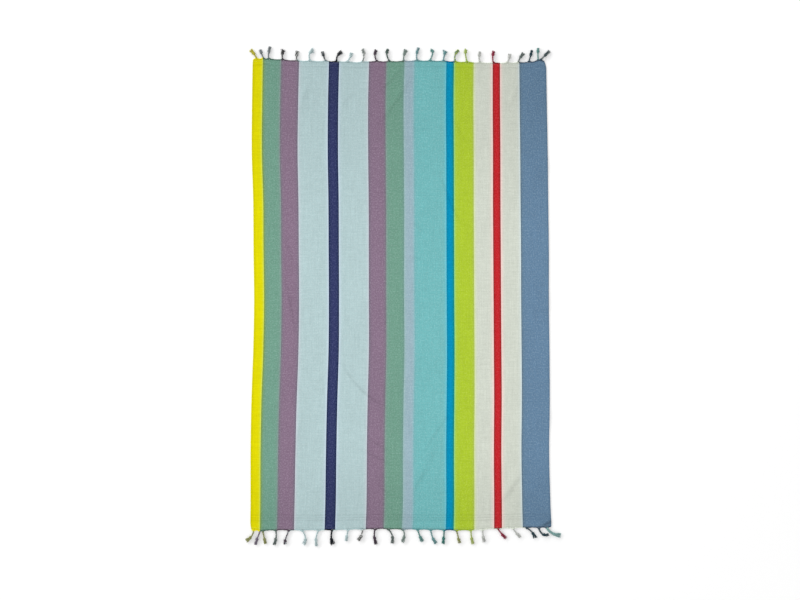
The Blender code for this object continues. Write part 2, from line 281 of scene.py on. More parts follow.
SWAYS = (
    Sway(0.000, 0.002, 0.007, 0.005, 0.001, -0.007),
    Sway(0.130, 0.000, 0.004, 0.002, 0.001, -0.005),
    Sway(0.300, -0.001, 0.002, 0.003, 0.002, -0.002),
    Sway(0.470, 0.004, 0.005, 0.004, 0.002, 0.000),
    Sway(0.640, 0.005, 0.006, 0.004, 0.003, 0.002),
    Sway(0.800, 0.007, 0.007, 0.004, 0.004, 0.002),
    Sway(0.970, 0.004, 0.005, 0.005, 0.005, 0.004),
    Sway(1.140, -0.002, -0.001, 0.002, 0.006, 0.005),
    Sway(1.310, -0.005, -0.005, 0.000, 0.005, 0.003),
    Sway(1.480, -0.005, -0.008, 0.000, 0.006, 0.007),
    Sway(1.570, -0.006, -0.010, -0.003, 0.006, 0.011),
)

SWAY_PLACES = (
    ("left", 0.0),
    ("left_inner", 0.151),
    ("middle", 0.508),
    ("right_inner", 0.809),
    ("right", 0.997),
)

END_SWAYS = (
    EndSway(0.000, 0.008, 0.002),
    EndSway(0.033, 0.010, 0.005),
    EndSway(0.092, 0.006, 0.002),
    EndSway(0.151, 0.002, 0.003),
    EndSway(0.287, 0.000, 0.002),
    EndSway(0.350, -0.003, 0.000),
    EndSway(0.388, 0.000, -0.001),
    EndSway(0.447, 0.000, -0.002),
    EndSway(0.508, 0.001, 0.000),
    EndSway(0.542, 0.003, 0.000),
    EndSway(0.651, 0.001, 0.002),
    EndSway(0.677, -0.001, 0.003),
    EndSway(0.744, -0.003, 0.003),
    EndSway(0.809, -0.005, -0.002),
    EndSway(0.903, -0.004, -0.006),
    EndSway(0.950, -0.001, -0.006),
    EndSway(0.973, 0.005, -0.006),
    EndSway(0.997, 0.001, -0.008),
)

CORNERS = (
    Corner(End.TOP, Side.LEFT, 0.001),
    Corner(End.TOP, Side.RIGHT, 0.005),
    Corner(End.BOTTOM, Side.LEFT, 0.003),
    Corner(End.BOTTOM, Side.RIGHT, 0.001),
)

RIPPLES = (
    Ripple(0.045, 0.760, -0.085, 0.555, 0.010, 0.056, 0.0018),
    Ripple(-0.300, 0.740, -0.340, 0.600, -0.008, 0.050, 0.0012),
    Ripple(0.415, 0.750, 0.350, 0.610, 0.010, 0.054, 0.0014),
    Ripple(0.138, 0.415, 0.226, 0.180, 0.010, 0.056, 0.0018),
    Ripple(-0.405, 0.215, -0.350, -0.155, -0.006, 0.050, 0.0015),
    Ripple(-0.202, -0.215, 0.000, -0.405, -0.028, 0.054, 0.0018),
    Ripple(-0.318, -0.345, -0.362, -0.540, 0.006, 0.052, 0.0014),
    Ripple(0.172, -0.390, 0.034, -0.690, -0.010, 0.058, 0.0020),
    Ripple(0.408, -0.560, 0.335, -0.705, 0.006, 0.050, 0.0016),
    Ripple(-0.128, -0.465, -0.008, -0.545, -0.012, 0.050, 0.0014),
    Ripple(0.560, 0.470, 0.385, 0.410, 0.006, 0.110, 0.0018),
    Ripple(0.560, -0.010, 0.400, -0.050, -0.006, 0.104, 0.0015),
    Ripple(0.570, -0.430, 0.385, -0.375, 0.008, 0.114, 0.0020),
    Ripple(-0.555, 0.260, -0.410, 0.230, 0.005, 0.100, 0.0014),
    Ripple(-0.565, -0.270, -0.395, -0.235, -0.006, 0.106, 0.0017),
)

# The creases that show, which are finer than the ripples that they run on. Their shade is painted
# into the dye.
CREASES = (
    Crease(0.048, 0.752, -0.090, 0.556, 0.006, 0.022, 0.13),
    Crease(0.008, 0.772, -0.078, 0.680, 0.004, 0.020, 0.12),
    Crease(0.158, 0.612, 0.222, 0.510, 0.004, 0.018, 0.06),
    Crease(0.131, 0.420, 0.210, 0.230, -0.006, 0.018, 0.14),
    Crease(0.020, 0.138, 0.098, 0.108, 0.003, 0.016, 0.06),
    Crease(-0.136, -0.026, 0.156, 0.038, 0.006, 0.020, 0.02),
    Crease(-0.402, 0.210, -0.352, 0.088, 0.003, 0.018, 0.07),
    Crease(-0.398, 0.095, -0.352, -0.148, 0.004, 0.018, 0.13),
    Crease(-0.205, -0.212, -0.014, -0.390, -0.027, 0.018, 0.13),
    Crease(0.174, -0.386, 0.062, -0.560, -0.004, 0.020, 0.12),
    Crease(0.092, -0.580, 0.042, -0.672, -0.003, 0.020, 0.11),
    Crease(-0.118, -0.472, -0.030, -0.526, -0.004, 0.018, 0.12),
    Crease(-0.122, -0.520, -0.026, -0.568, -0.003, 0.018, 0.12),
    Crease(-0.080, -0.634, -0.022, -0.688, 0.002, 0.016, 0.08),
    Crease(0.410, -0.596, 0.332, -0.706, 0.004, 0.026, 0.13),
    Crease(-0.328, -0.372, -0.356, -0.512, 0.004, 0.020, 0.08),
    Crease(0.150, -0.190, 0.160, -0.278, 0.003, 0.022, 0.03),
    Crease(0.036, 0.252, 0.078, 0.210, 0.002, 0.022, 0.06),
    Crease(-0.200, 0.636, -0.146, 0.692, 0.002, 0.018, 0.05),
    Crease(0.402, 0.742, 0.362, 0.622, 0.006, 0.022, 0.08),
    Crease(-0.302, 0.728, -0.336, 0.616, -0.004, 0.020, 0.07),
    Crease(0.460, -0.791, 0.534, -0.745, 0.000, 0.022, 0.46),
    Crease(0.122, 0.436, 0.166, 0.296, 0.003, 0.020, 0.08),
)

SHADE_AND_DYE_PATCHES = (
    # Painted shade: darker towards both ends, more so in the navy and denim stripes, and in the
    # top right corner
    ShadeAndDyePatch(0.50, -0.05, 3.0, 0.75, -0.13),
    ShadeAndDyePatch(0.50, 1.62, 3.0, 0.36, -0.11),
    ShadeAndDyePatch(0.97, 1.60, 0.14, 0.34, -0.07),
    ShadeAndDyePatch(0.27, 1.60, 0.03, 0.60, -0.12),
    ShadeAndDyePatch(0.27, -0.05, 0.03, 0.50, -0.08),
    ShadeAndDyePatch(1.00, 0.05, 0.22, 0.60, -0.11),
    # Paler along the bottom header
    ShadeAndDyePatch(0.27, 1.574, 0.13, 0.016, 0.09),
    ShadeAndDyePatch(0.81, 1.574, 0.09, 0.016, 0.05),
    # Painted shade along the selvedges, which turn away from the light
    ShadeAndDyePatch(0.000, 0.80, 0.009, 9.0, -0.14),
    ShadeAndDyePatch(0.997, 0.80, 0.007, 9.0, -0.17),
)

TASSELS = {
    End.TOP: (
        TasselLay(-0.484, -0.006, 0.012, -0.020, 0.029, 1.3, Yarn.OLD_GOLD),
        TasselLay(-0.461, -0.006, 0.015, -0.010, 0.029, 1.1, Yarn.ASH),
        TasselLay(-0.443, 0.000, 0.018, 0.005, 0.040, 1.0, Yarn.ASH),
        TasselLay(-0.396, -0.001, 0.016, 0.003, 0.033, 1.1, Yarn.CHARCOAL, fork=0.0045),
        TasselLay(
            -0.347, -0.002, 0.014, 0.003, 0.031, 1.1, Yarn.INK, fork=0.0030, second=Yarn.BONE
        ),
        TasselLay(-0.304, -0.001, 0.023, 0.013, 0.035, 1.3, fork=0.0040),
        TasselLay(-0.251, -0.007, 0.016, -0.011, 0.032, 1.0, Yarn.INK, second=Yarn.ASH),
        TasselLay(
            -0.214, 0.004, 0.019, 0.019, 0.031, 1.5, Yarn.INK, girth=1.2, second=Yarn.CHARCOAL
        ),
        TasselLay(-0.177, 0.009, 0.015, 0.014, 0.029, 1.3),
        TasselLay(
            -0.126, 0.004, 0.024, -0.001, 0.042, 1.0, Yarn.STEEL, fork=0.0020, second=Yarn.BONE
        ),
        TasselLay(-0.079, -0.006, 0.020, 0.000, 0.037, 1.2),
        TasselLay(-0.037, -0.008, 0.024, -0.003, 0.040),
        TasselLay(0.012, 0.001, 0.018, 0.008, 0.037, 1.0, Yarn.MIST, fork=0.0030),
        TasselLay(0.057, -0.001, 0.021, 0.006, 0.042),
        TasselLay(0.101, 0.009, 0.027, 0.001, 0.033, 1.3, Yarn.SEA),
        TasselLay(0.146, 0.003, 0.020, 0.007, 0.033, 1.6, fork=0.0030),
        TasselLay(0.185, 0.001, 0.024, 0.013, 0.036, 1.1),
        TasselLay(0.225, -0.005, 0.027, -0.002, 0.041, 1.1),
        TasselLay(0.268, -0.002, 0.018, 0.001, 0.036, 0.9, Yarn.BONE),
        TasselLay(0.313, -0.001, 0.021, 0.002, 0.039, 1.1, Yarn.CRIMSON),
        TasselLay(0.361, 0.006, 0.013, 0.008, 0.029, 1.2, Yarn.BONE),
        TasselLay(0.398, 0.006, 0.014, 0.018, 0.031, 1.3, Yarn.STEEL),
        TasselLay(0.434, 0.005, 0.018, 0.010, 0.038, 0.9, Yarn.SLATE),
        TasselLay(0.465, -0.001, 0.023, 0.000, 0.040, 1.0, Yarn.SEA),
        TasselLay(0.474, 0.011, 0.012, 0.029, 0.030, 1.2, Yarn.SLATE, second=Yarn.STEEL),
    ),
    End.BOTTOM: (
        TasselLay(-0.494, -0.007, 0.019, -0.025, 0.034, 1.5, Yarn.OLIVE),
        TasselLay(-0.472, -0.008, 0.021, -0.016, 0.045, 1.0, Yarn.DUSK),
        TasselLay(-0.463, 0.005, 0.022, 0.009, 0.043, 1.1, Yarn.OLIVE),
        TasselLay(-0.419, 0.001, 0.024, -0.006, 0.049, 1.1, Yarn.STEEL),
        TasselLay(-0.375, -0.011, 0.029, -0.012, 0.046, 1.1),
        TasselLay(-0.330, 0.011, 0.024, 0.005, 0.047, 1.3),
        TasselLay(-0.275, -0.008, 0.024, -0.006, 0.053),
        TasselLay(-0.229, -0.003, 0.024, 0.004, 0.047, 1.7, Yarn.INK, girth=1.3),
        TasselLay(-0.175, -0.004, 0.018, -0.006, 0.037, 1.1),
        TasselLay(
            -0.128, -0.002, 0.018, -0.013, 0.037, 1.2, Yarn.CHARCOAL, fork=0.0020, second=Yarn.BONE
        ),
        TasselLay(-0.084, -0.003, 0.021, 0.003, 0.050, 1.1),
        TasselLay(-0.040, 0.013, 0.021, 0.013, 0.047, 1.1, Yarn.STEEL),
        TasselLay(0.010, 0.004, 0.019, -0.003, 0.042, 1.2, Yarn.MIST),
        TasselLay(0.059, 0.007, 0.020, 0.016, 0.039, 1.4, Yarn.SEA),
        TasselLay(0.103, 0.006, 0.024, 0.018, 0.045, 1.2),
        TasselLay(0.148, -0.001, 0.021, -0.003, 0.046, 1.1, Yarn.DEEP_SEA),
        TasselLay(0.190, 0.006, 0.024, 0.010, 0.042, 1.1, Yarn.OLIVE),
        TasselLay(0.239, 0.001, 0.021, 0.007, 0.045, 1.2, Yarn.PALE_LIME),
        TasselLay(0.278, 0.001, 0.019, 0.005, 0.041, 1.3, Yarn.BONE),
        TasselLay(0.330, 0.011, 0.015, 0.027, 0.032, 1.2, Yarn.CRIMSON),
        TasselLay(0.380, 0.011, 0.015, 0.026, 0.030, 1.0, Yarn.BONE),
        TasselLay(0.426, 0.018, 0.014, 0.029, 0.034, 1.4, Yarn.SLATE),
        TasselLay(0.467, 0.012, 0.020, 0.034, 0.022, 1.0, Yarn.SLATE, girth=1.2),
        TasselLay(0.494, 0.018, 0.018, 0.047, 0.026, 1.6, Yarn.FOAM, girth=1.9),
    ),
}


def linear(hex_colour: str) -> tuple[float, float, float]:
    """Turns an sRGB hex colour to linear red, green and blue.

    Args:
        hex_colour: The colour, as "#RRGGBB".

    Returns:
        Its linear channels.
    """
    channels = [int(hex_colour[start:start + 2], 16) / 255 for start in (1, 3, 5)]
    return tuple(c / 12.92 if c <= 0.04045 else ((c + 0.055) / 1.055) ** 2.4 for c in channels)


def smooth_curve(places: Sequence[float], values: Sequence[float], at: np.ndarray) -> np.ndarray:
    """Reads a smooth curve that passes through the values at their places.

    Args:
        places: Where the values are known, going up.
        values: The values there.
        at: Where to read the curve.

    Returns:
        The curve's values.
    """
    places, values = np.asarray(places), np.asarray(values)
    last = len(places) - 1
    at = np.clip(at, places[0], places[-1])
    i = np.clip(np.searchsorted(places, at) - 1, 0, last - 1)
    number = np.arange(last + 1)
    after, before = np.minimum(number + 1, last), np.maximum(number - 1, 0)
    slopes = (values[after] - values[before]) / (places[after] - places[before])
    span = places[i + 1] - places[i]
    t = (at - places[i]) / span
    return (
        (2 * t**3 - 3 * t**2 + 1) * values[i]
        + (t**3 - 2 * t**2 + t) * slopes[i] * span
        + (3 * t**2 - 2 * t**3) * values[i + 1]
        + (t**3 - t**2) * slopes[i + 1] * span
    )


def filled_places(turns: Sequence[float], cell: float, least: float) -> np.ndarray:
    """Spaces out the places of a grid so that it has a line at each turn.

    Args:
        turns: Places that need a line.
        cell: The widest that a cell may be.
        least: The narrowest; a turn that is nearer to the last one is left out.

    Returns:
        All places, going up.
    """
    places = [min(turns)]
    for turn in sorted(turns):
        gap = turn - places[-1]
        if gap < least:
            continue
        count = math.ceil(gap / cell)
        places += [places[-1] + gap / count * n for n in range(1, count)] + [turn]
    return np.array(places)


def hump(distance: np.ndarray, reach: float) -> np.ndarray:
    """A soft hump: 1 where the distance is 0, and 0 from its reach on."""
    return np.cos(np.pi / 2 * np.clip(np.abs(distance) / reach, 0, 1)) ** 2


def add_node(
    tree: Tree, kind: str, settings: dict | None = None, links: dict | None = None
) -> bpy.types.Node:
    """Adds a node to a material, sets it up and links its inputs.

    Args:
        tree: The material's node tree.
        kind: The node's Blender type, without its "ShaderNode".
        settings: Values by the name of a property, or the name or number of an input.
        links: Output sockets by the name or number of the input that they feed.

    Returns:
        The node.
    """
    node = tree.nodes.new("ShaderNode" + kind)
    for name, value in (settings or {}).items():
        if isinstance(name, str) and hasattr(node, name):
            setattr(node, name, value)
        else:
            node.inputs[name].default_value = value
    for name, socket in (links or {}).items():
        tree.links.new(node.inputs[name], socket)
    return node


def calculate(tree: Tree, operation: str, *terms: float | Socket, clamp: bool = False) -> Socket:
    """Adds a node that calculates with numbers.

    Args:
        tree: The material's node tree.
        operation: What it does, in Blender's word.
        terms: Numbers, or the output sockets that give them.
        clamp: Whether the result is kept from 0 to 1.

    Returns:
        The result's socket.
    """
    values = {place: term for place, term in enumerate(terms) if isinstance(term, float)}
    links = {place: term for place, term in enumerate(terms) if place not in values}
    settings = {"operation": operation, "use_clamp": clamp, **values}
    return add_node(tree, "Math", settings, links).outputs[0]


def remap(tree: Tree, value: Socket, read: Sequence[float], given: Sequence[float]) -> Socket:
    """Adds a node that turns one range of numbers into another.

    Args:
        tree: The material's node tree.
        value: The number's socket.
        read: The start and the end of the range that is read.
        given: The start and the end of the range that is given.

    Returns:
        The result's socket.
    """
    names = ("From Min", "From Max", "To Min", "To Max")
    ranges = dict(zip(names, (*read, *given)))
    return add_node(tree, "MapRange", ranges, {"Value": value}).outputs["Result"]


def clouds(
    tree: Tree, place: Socket, across: float, down: float, detail: float = 2.0
) -> Socket:
    """Adds soft noise whose patches have a given size.

    Args:
        tree: The material's node tree.
        place: The socket of the place on the thread map.
        across: The patches' width.
        down: Their length.
        detail: How rough their edges are.

    Returns:
        The socket of the noise.
    """
    scaled = add_node(tree, "Mapping", {"Scale": (1 / across, 1 / down, 1.0)}, {"Vector": place})
    noise = add_node(tree, "TexNoise", {"Scale": 1.0, "Detail": detail},
                     {"Vector": scaled.outputs["Vector"]})
    return noise.outputs["Fac"]


def new_material(name: str, **surface: float) -> tuple[bpy.types.Material, bpy.types.Node]:
    """Makes a material with one Principled surface.

    Args:
        name: The material's name.
        surface: Values for the surface's sockets, with _ for a space.

    Returns:
        The material and its surface node.
    """
    material = bpy.data.materials.new(name)
    material.use_nodes = True
    shader = material.node_tree.nodes["Principled BSDF"]
    for socket, value in surface.items():
        shader.inputs[socket.replace("_", " ")].default_value = value
    return material, shader


@dataclass(frozen=True)
class Unevenness:
    """One kind of unevenness in the threads: its size along and across them, and how much
    it lightens and darkens the dye and lifts the cloth."""

    across: float
    down: float
    shade: float
    relief: float


@dataclass(frozen=True)
class Cotton:
    """Cotton that takes its dye from the mesh: matt, with a faint bloom of loose fibres."""

    name: str = "cotton"
    roughness: float = 0.92
    sheen: float = 0.03
    sheen_roughness: float = 0.5
    ior: float = 1.5
    specular: float = 0.05

    def material(self) -> bpy.types.Material:
        """Makes the material.

        Returns:
            The material, which reads the dye and the thread map of the mesh.
        """
        material, shader = new_material(
            self.name, Roughness=self.roughness, IOR=self.ior, Specular_IOR_Level=self.specular,
            Sheen_Weight=self.sheen, Sheen_Roughness=self.sheen_roughness,
        )
        tree = material.node_tree
        dye = add_node(tree, "Attribute", {"attribute_name": DYE}).outputs["Color"]
        place = add_node(tree, "UVMap", {"uv_map": METRES_MAP}).outputs["UV"]
        colour, brightness, height = self.look(tree, dye, place)
        shaded = add_node(tree, "VectorMath", {"operation": "SCALE"},
                          {0: colour, "Scale": brightness})
        bump = add_node(tree, "Bump", {"Strength": 1.0, "Distance": 1.0}, {"Height": height})
        tree.links.new(shader.inputs["Base Color"], shaded.outputs["Vector"])
        tree.links.new(shader.inputs["Normal"], bump.outputs["Normal"])
        return material

    def look(self, tree: Tree, dye: Socket, place: Socket) -> tuple[Socket, Socket, Socket]:
        """Adds what tells this cotton from others, in a way of its own."""
        raise NotImplementedError


@dataclass(frozen=True)
class PlainWeaveCotton(Cotton):
    """Yarn-dyed cotton in plain weave, washed and not pressed: matt, with a faint bloom.

    The warp shows the stripe's colour. Where the paler weft shows between its threads, the
    eye sees a lighter cast of the same dye. Hand looms pack the weft unevenly, which gives
    the eye slubs both ways.
    """

    name: str = "plain_weave_cotton"
    # The real threads are 0.7 mm apart. They are drawn at 1.8 mm, so that they show.
    thread_pitch: float = 0.0018
    thread_relief: float = 0.00006
    dye_depth: float = 0.87
    weft_cast: float = 0.55
    weft_share: float = 0.03
    weft_band: tuple[float, float] = (0.15, -0.15)
    fleck_share: float = 0.48
    fleck_width: float = 0.0040
    fleck_length: float = 0.0050
    fleck_band: tuple[float, float] = (0.45, 0.80)
    uneven_band: tuple[float, float] = (0.25, 0.75)
    unevennesses: tuple[Unevenness, ...] = (
        Unevenness(0.0036, 0.090, 0.055, 0.00008),
        Unevenness(0.050, 0.0036, 0.055, 0.00008),
        Unevenness(0.0045, 0.0045, 0.050, 0.0),
        Unevenness(0.012, 0.018, 0.030, 0.00015),
        Unevenness(0.110, 0.170, 0.020, 0.0),
    )

    def look(self, tree: Tree, dye: Socket, place: Socket) -> tuple[Socket, Socket, Socket]:
        """Adds the crossing threads, their unevenness and the flecks of weft.

        Args:
            tree: The material's node tree.
            dye: The socket of the dye.
            place: The socket of the place on the thread map.

        Returns:
            The sockets of its colour, of its brightness and of its height.
        """
        split = add_node(tree, "SeparateXYZ", links={"Vector": place}).outputs
        turns = [
            calculate(tree, "MULTIPLY", split[axis], math.pi / self.thread_pitch) for axis in "XY"
        ]
        crossing = calculate(tree, "MULTIPLY", *(calculate(tree, "SINE", turn) for turn in turns))
        threads = calculate(tree, "ABSOLUTE", crossing)
        height = calculate(tree, "MULTIPLY", threads, self.thread_relief)
        brightness = self.dye_depth
        for uneven in self.unevennesses:
            patches = clouds(tree, place, uneven.across, uneven.down)
            shades = (1 - uneven.shade, 1 + uneven.shade)
            shade = remap(tree, patches, self.uneven_band, shades)
            brightness = calculate(tree, "MULTIPLY", shade, brightness)
            if uneven.relief:
                height = calculate(tree, "MULTIPLY_ADD", patches, uneven.relief, height)
        flecks = clouds(tree, place, self.fleck_width, self.fleck_length, detail=1.0)
        fleck = remap(tree, flecks, self.fleck_band, (0.0, self.fleck_share))
        weft = remap(tree, crossing, self.weft_band, (0.0, self.weft_share))
        pale = calculate(tree, "ADD", weft, fleck, clamp=True)
        cast = add_node(tree, "Gamma", {"Gamma": self.weft_cast}, {"Color": dye}).outputs["Color"]
        woven = add_node(tree, "Mix", {"data_type": "RGBA"}, {0: pale, 6: dye, 7: cast})
        return woven.outputs[2], brightness, height


@dataclass(frozen=True)
class TwistedCottonYarn(Cotton):
    """Spun and twisted cotton yarn: matt and fluffy, with its fibres winding round it."""

    name: str = "twisted_cotton_yarn"
    roughness: float = 0.95
    sheen: float = 0.05
    specular: float = 0.1
    # The fibres' real twist repeats every 1.2 mm. It is drawn every 2.4 mm.
    twist_pitch: float = 0.0024
    twist_relief: float = 0.00005
    twist_shade: float = 0.12
    mottle_size: float = 0.004
    mottle_shade: float = 0.15
    mottle_band: tuple[float, float] = (0.3, 0.7)

    def look(self, tree: Tree, dye: Socket, place: Socket) -> tuple[Socket, Socket, Socket]:
        """Adds the winding fibres, with painted shade where they sink, and the mottled dye.

        Args:
            tree: The material's node tree.
            dye: The socket of the dye.
            place: The socket of the place on the thread map.

        Returns:
            The sockets of its colour, of its brightness and of its height.
        """
        split = add_node(tree, "SeparateXYZ", links={"Vector": place}).outputs
        turns = calculate(tree, "MULTIPLY_ADD", split["Y"], 1 / self.twist_pitch, split["X"])
        fibres = calculate(tree, "SINE", calculate(tree, "MULTIPLY", turns, 2 * math.pi))
        # Painted shade: the yarn is darker where its winding fibres sink, in step with their
        # relief
        twist = remap(tree, fibres, (-1.0, 1.0), (1 - self.twist_shade, 1.0))
        mottle = add_node(tree, "TexNoise", {"Scale": 1 / self.mottle_size, "Detail": 2.0},
                          {"Vector": add_node(tree, "TexCoord").outputs["Object"]})
        shades = (1 - self.mottle_shade, 1 + self.mottle_shade)
        shade = remap(tree, mottle.outputs["Fac"], self.mottle_band, shades)
        brightness = calculate(tree, "MULTIPLY", twist, shade)
        return dye, brightness, calculate(tree, "MULTIPLY", fibres, self.twist_relief)


@dataclass(frozen=True)
class FloorPaint:
    """White emulsion on a smooth studio floor: matt, with the faintest roller texture."""

    name: str = "white_floor_paint"
    colour: str = "#FAFAFA"
    grain: float = 0.002
    grain_shade: float = 0.004
    roughness: float = 0.85

    def material(self) -> bpy.types.Material:
        """Makes the floor's material."""
        material, shader = new_material(self.name, Roughness=self.roughness)
        tree = material.node_tree
        place = add_node(tree, "TexCoord").outputs["Object"]
        cloud = add_node(tree, "TexNoise", {"Scale": 1 / self.grain}, {"Vector": place})
        shade = remap(tree, cloud.outputs["Fac"], (0.0, 1.0), (1 - self.grain_shade, 1.0))
        painted = add_node(tree, "VectorMath", {"operation": "SCALE", 0: linear(self.colour)},
                           {"Scale": shade})
        tree.links.new(shader.inputs["Base Color"], painted.outputs["Vector"])
        return material


class Draft:
    """A mesh in the making, with a dye and two UV maps at each corner of its faces."""

    bake_margin: ClassVar[float] = 0.03

    def __init__(self) -> None:
        """Starts with nothing."""
        self.points: list[np.ndarray] = []
        self.faces: list[list[int]] = []
        self.dyes: list[np.ndarray] = []
        self.metres: list[np.ndarray] = []
        self.layouts: list[np.ndarray] = []
        self.count = 0

    def add(
        self,
        points: np.ndarray,
        faces: Sequence[Sequence[int]],
        dyes: np.ndarray,
        metres: np.ndarray,
        layout: np.ndarray,
    ) -> None:
        """Adds one connected form.

        Args:
            points: Its points.
            faces: Its faces, as numbers of its own points.
            dyes: The linear colour at each corner of its faces.
            metres: The place on the thread map at each of these corners.
            layout: The place on the form's own square of the baking map there.
        """
        self.faces += [[self.count + corner for corner in face] for face in faces]
        self.count += len(points)
        self.points.append(points)
        self.dyes.append(dyes)
        self.metres.append(metres)
        self.layouts.append(layout)

    def layout(self) -> np.ndarray:
        """Places each form's square on the baking map, in rows.

        Returns:
            The place on the baking map at each corner of each face.
        """
        per_row = math.ceil(math.sqrt(len(self.layouts)))
        margin = self.bake_margin
        return np.concatenate([
            (np.array(divmod(number, per_row)) + margin + (1 - 2 * margin) * layout) / per_row
            for number, layout in enumerate(self.layouts)
        ])

    def build(self, name: str, material: bpy.types.Material) -> bpy.types.Object:
        """Makes the piece.

        Args:
            name: The piece's name.
            material: Its material.

        Returns:
            The piece, linked to the scene.
        """
        mesh = bpy.data.meshes.new(name)
        mesh.from_pydata(np.concatenate(self.points), [], self.faces)
        dyes = np.concatenate(self.dyes)
        colours = mesh.color_attributes.new(DYE, "FLOAT_COLOR", "CORNER")
        colours.data.foreach_set("color", np.c_[dyes, np.ones(len(dyes))].astype("f").ravel())
        maps = {METRES_MAP: np.concatenate(self.metres), BAKE_MAP: self.layout()}
        for map_name, places in maps.items():
            uv_map = mesh.uv_layers.new(name=map_name)
            uv_map.uv.foreach_set("vector", places.astype("f").ravel())
        mesh.materials.append(material)
        mesh.shade_smooth()
        piece = bpy.data.objects.new(name, mesh)
        bpy.context.scene.collection.objects.link(piece)
        return piece


@lru_cache(maxsize=None)
def thread_faces(rings: int, sides: int) -> tuple[list[list[int]], np.ndarray, np.ndarray]:
    """The faces of a closed thread: its rings of points come first, then its two ends.

    Args:
        rings: How many rings of points it has.
        sides: How many points each ring has.

    Returns:
        The faces, and the ring and the turn at each corner of the faces.
    """
    faces, corner_rings, corner_turns = [], [], []
    for ring in range(rings - 1):
        for side in range(sides):
            this, following = ring * sides, (ring + 1) * sides
            beside = (side + 1) % sides
            faces.append([this + side, this + beside, following + beside, following + side])
            corner_rings += [ring, ring, ring + 1, ring + 1]
            corner_turns += [side, side + 1, side + 1, side]
    start, end, last = rings * sides, rings * sides + 1, rings - 1
    for side in range(sides):
        beside = (side + 1) % sides
        faces.append([start, beside, side])
        faces.append([end, last * sides + side, last * sides + beside])
        corner_rings += [-0.5, 0, 0, last + 0.5, last, last]
        corner_turns += [side + 0.5, side + 1, side, side + 0.5, side, side + 1]
    return faces, np.array(corner_rings), np.array(corner_turns) / sides


class Skein(Draft):
    """A mesh of many threads."""

    pointedness: ClassVar[float] = 0.6

    def add_thread(
        self, path: np.ndarray, radius: float | np.ndarray, dye: np.ndarray, sides: int = 5
    ) -> None:
        """Adds one round thread.

        Args:
            path: The points of its centre line.
            radius: Its radius, or one radius for each point.
            dye: Its linear colour, or one colour for each point.
            sides: How many sides it has.
        """
        rings = len(path)
        radii = np.broadcast_to(radius, rings)
        dyes = np.broadcast_to(dye, (rings, 3))
        steps = np.gradient(path, axis=0)
        tangents = steps / np.linalg.norm(steps, axis=1)[:, None]
        normal = np.cross(tangents[0], ODD_WAY)
        normals = []
        for tangent in tangents:
            normal = normal - tangent * normal.dot(tangent)
            normal = normal / math.sqrt(normal.dot(normal))
            normals.append(normal)
        normals = np.array(normals)
        sideways = np.cross(tangents, normals)
        angles = 2 * np.pi * np.arange(sides) / sides
        around = (
            normals[:, None] * np.cos(angles)[None, :, None]
            + sideways[:, None] * np.sin(angles)[None, :, None]
        )
        points = path[:, None] + radii[:, None, None] * around
        outwards = self.pointedness * np.array([[-1], [1]])
        ends = path[[0, -1]] + tangents[[0, -1]] * radii[[0, -1], None] * outwards
        faces, corner_rings, corner_turns = thread_faces(rings, sides)
        length = np.r_[0, np.cumsum(np.linalg.norm(np.diff(path, axis=0), axis=1))]
        along = np.interp(corner_rings, np.arange(rings), length)
        nearest = np.clip(np.round(corner_rings), 0, rings - 1).astype(int)
        self.add(
            np.concatenate([points.reshape(-1, 3), ends]),
            faces,
            dyes[nearest],
            np.c_[corner_turns, along],
            np.c_[corner_turns, (corner_rings + 0.5) / rings],
        )


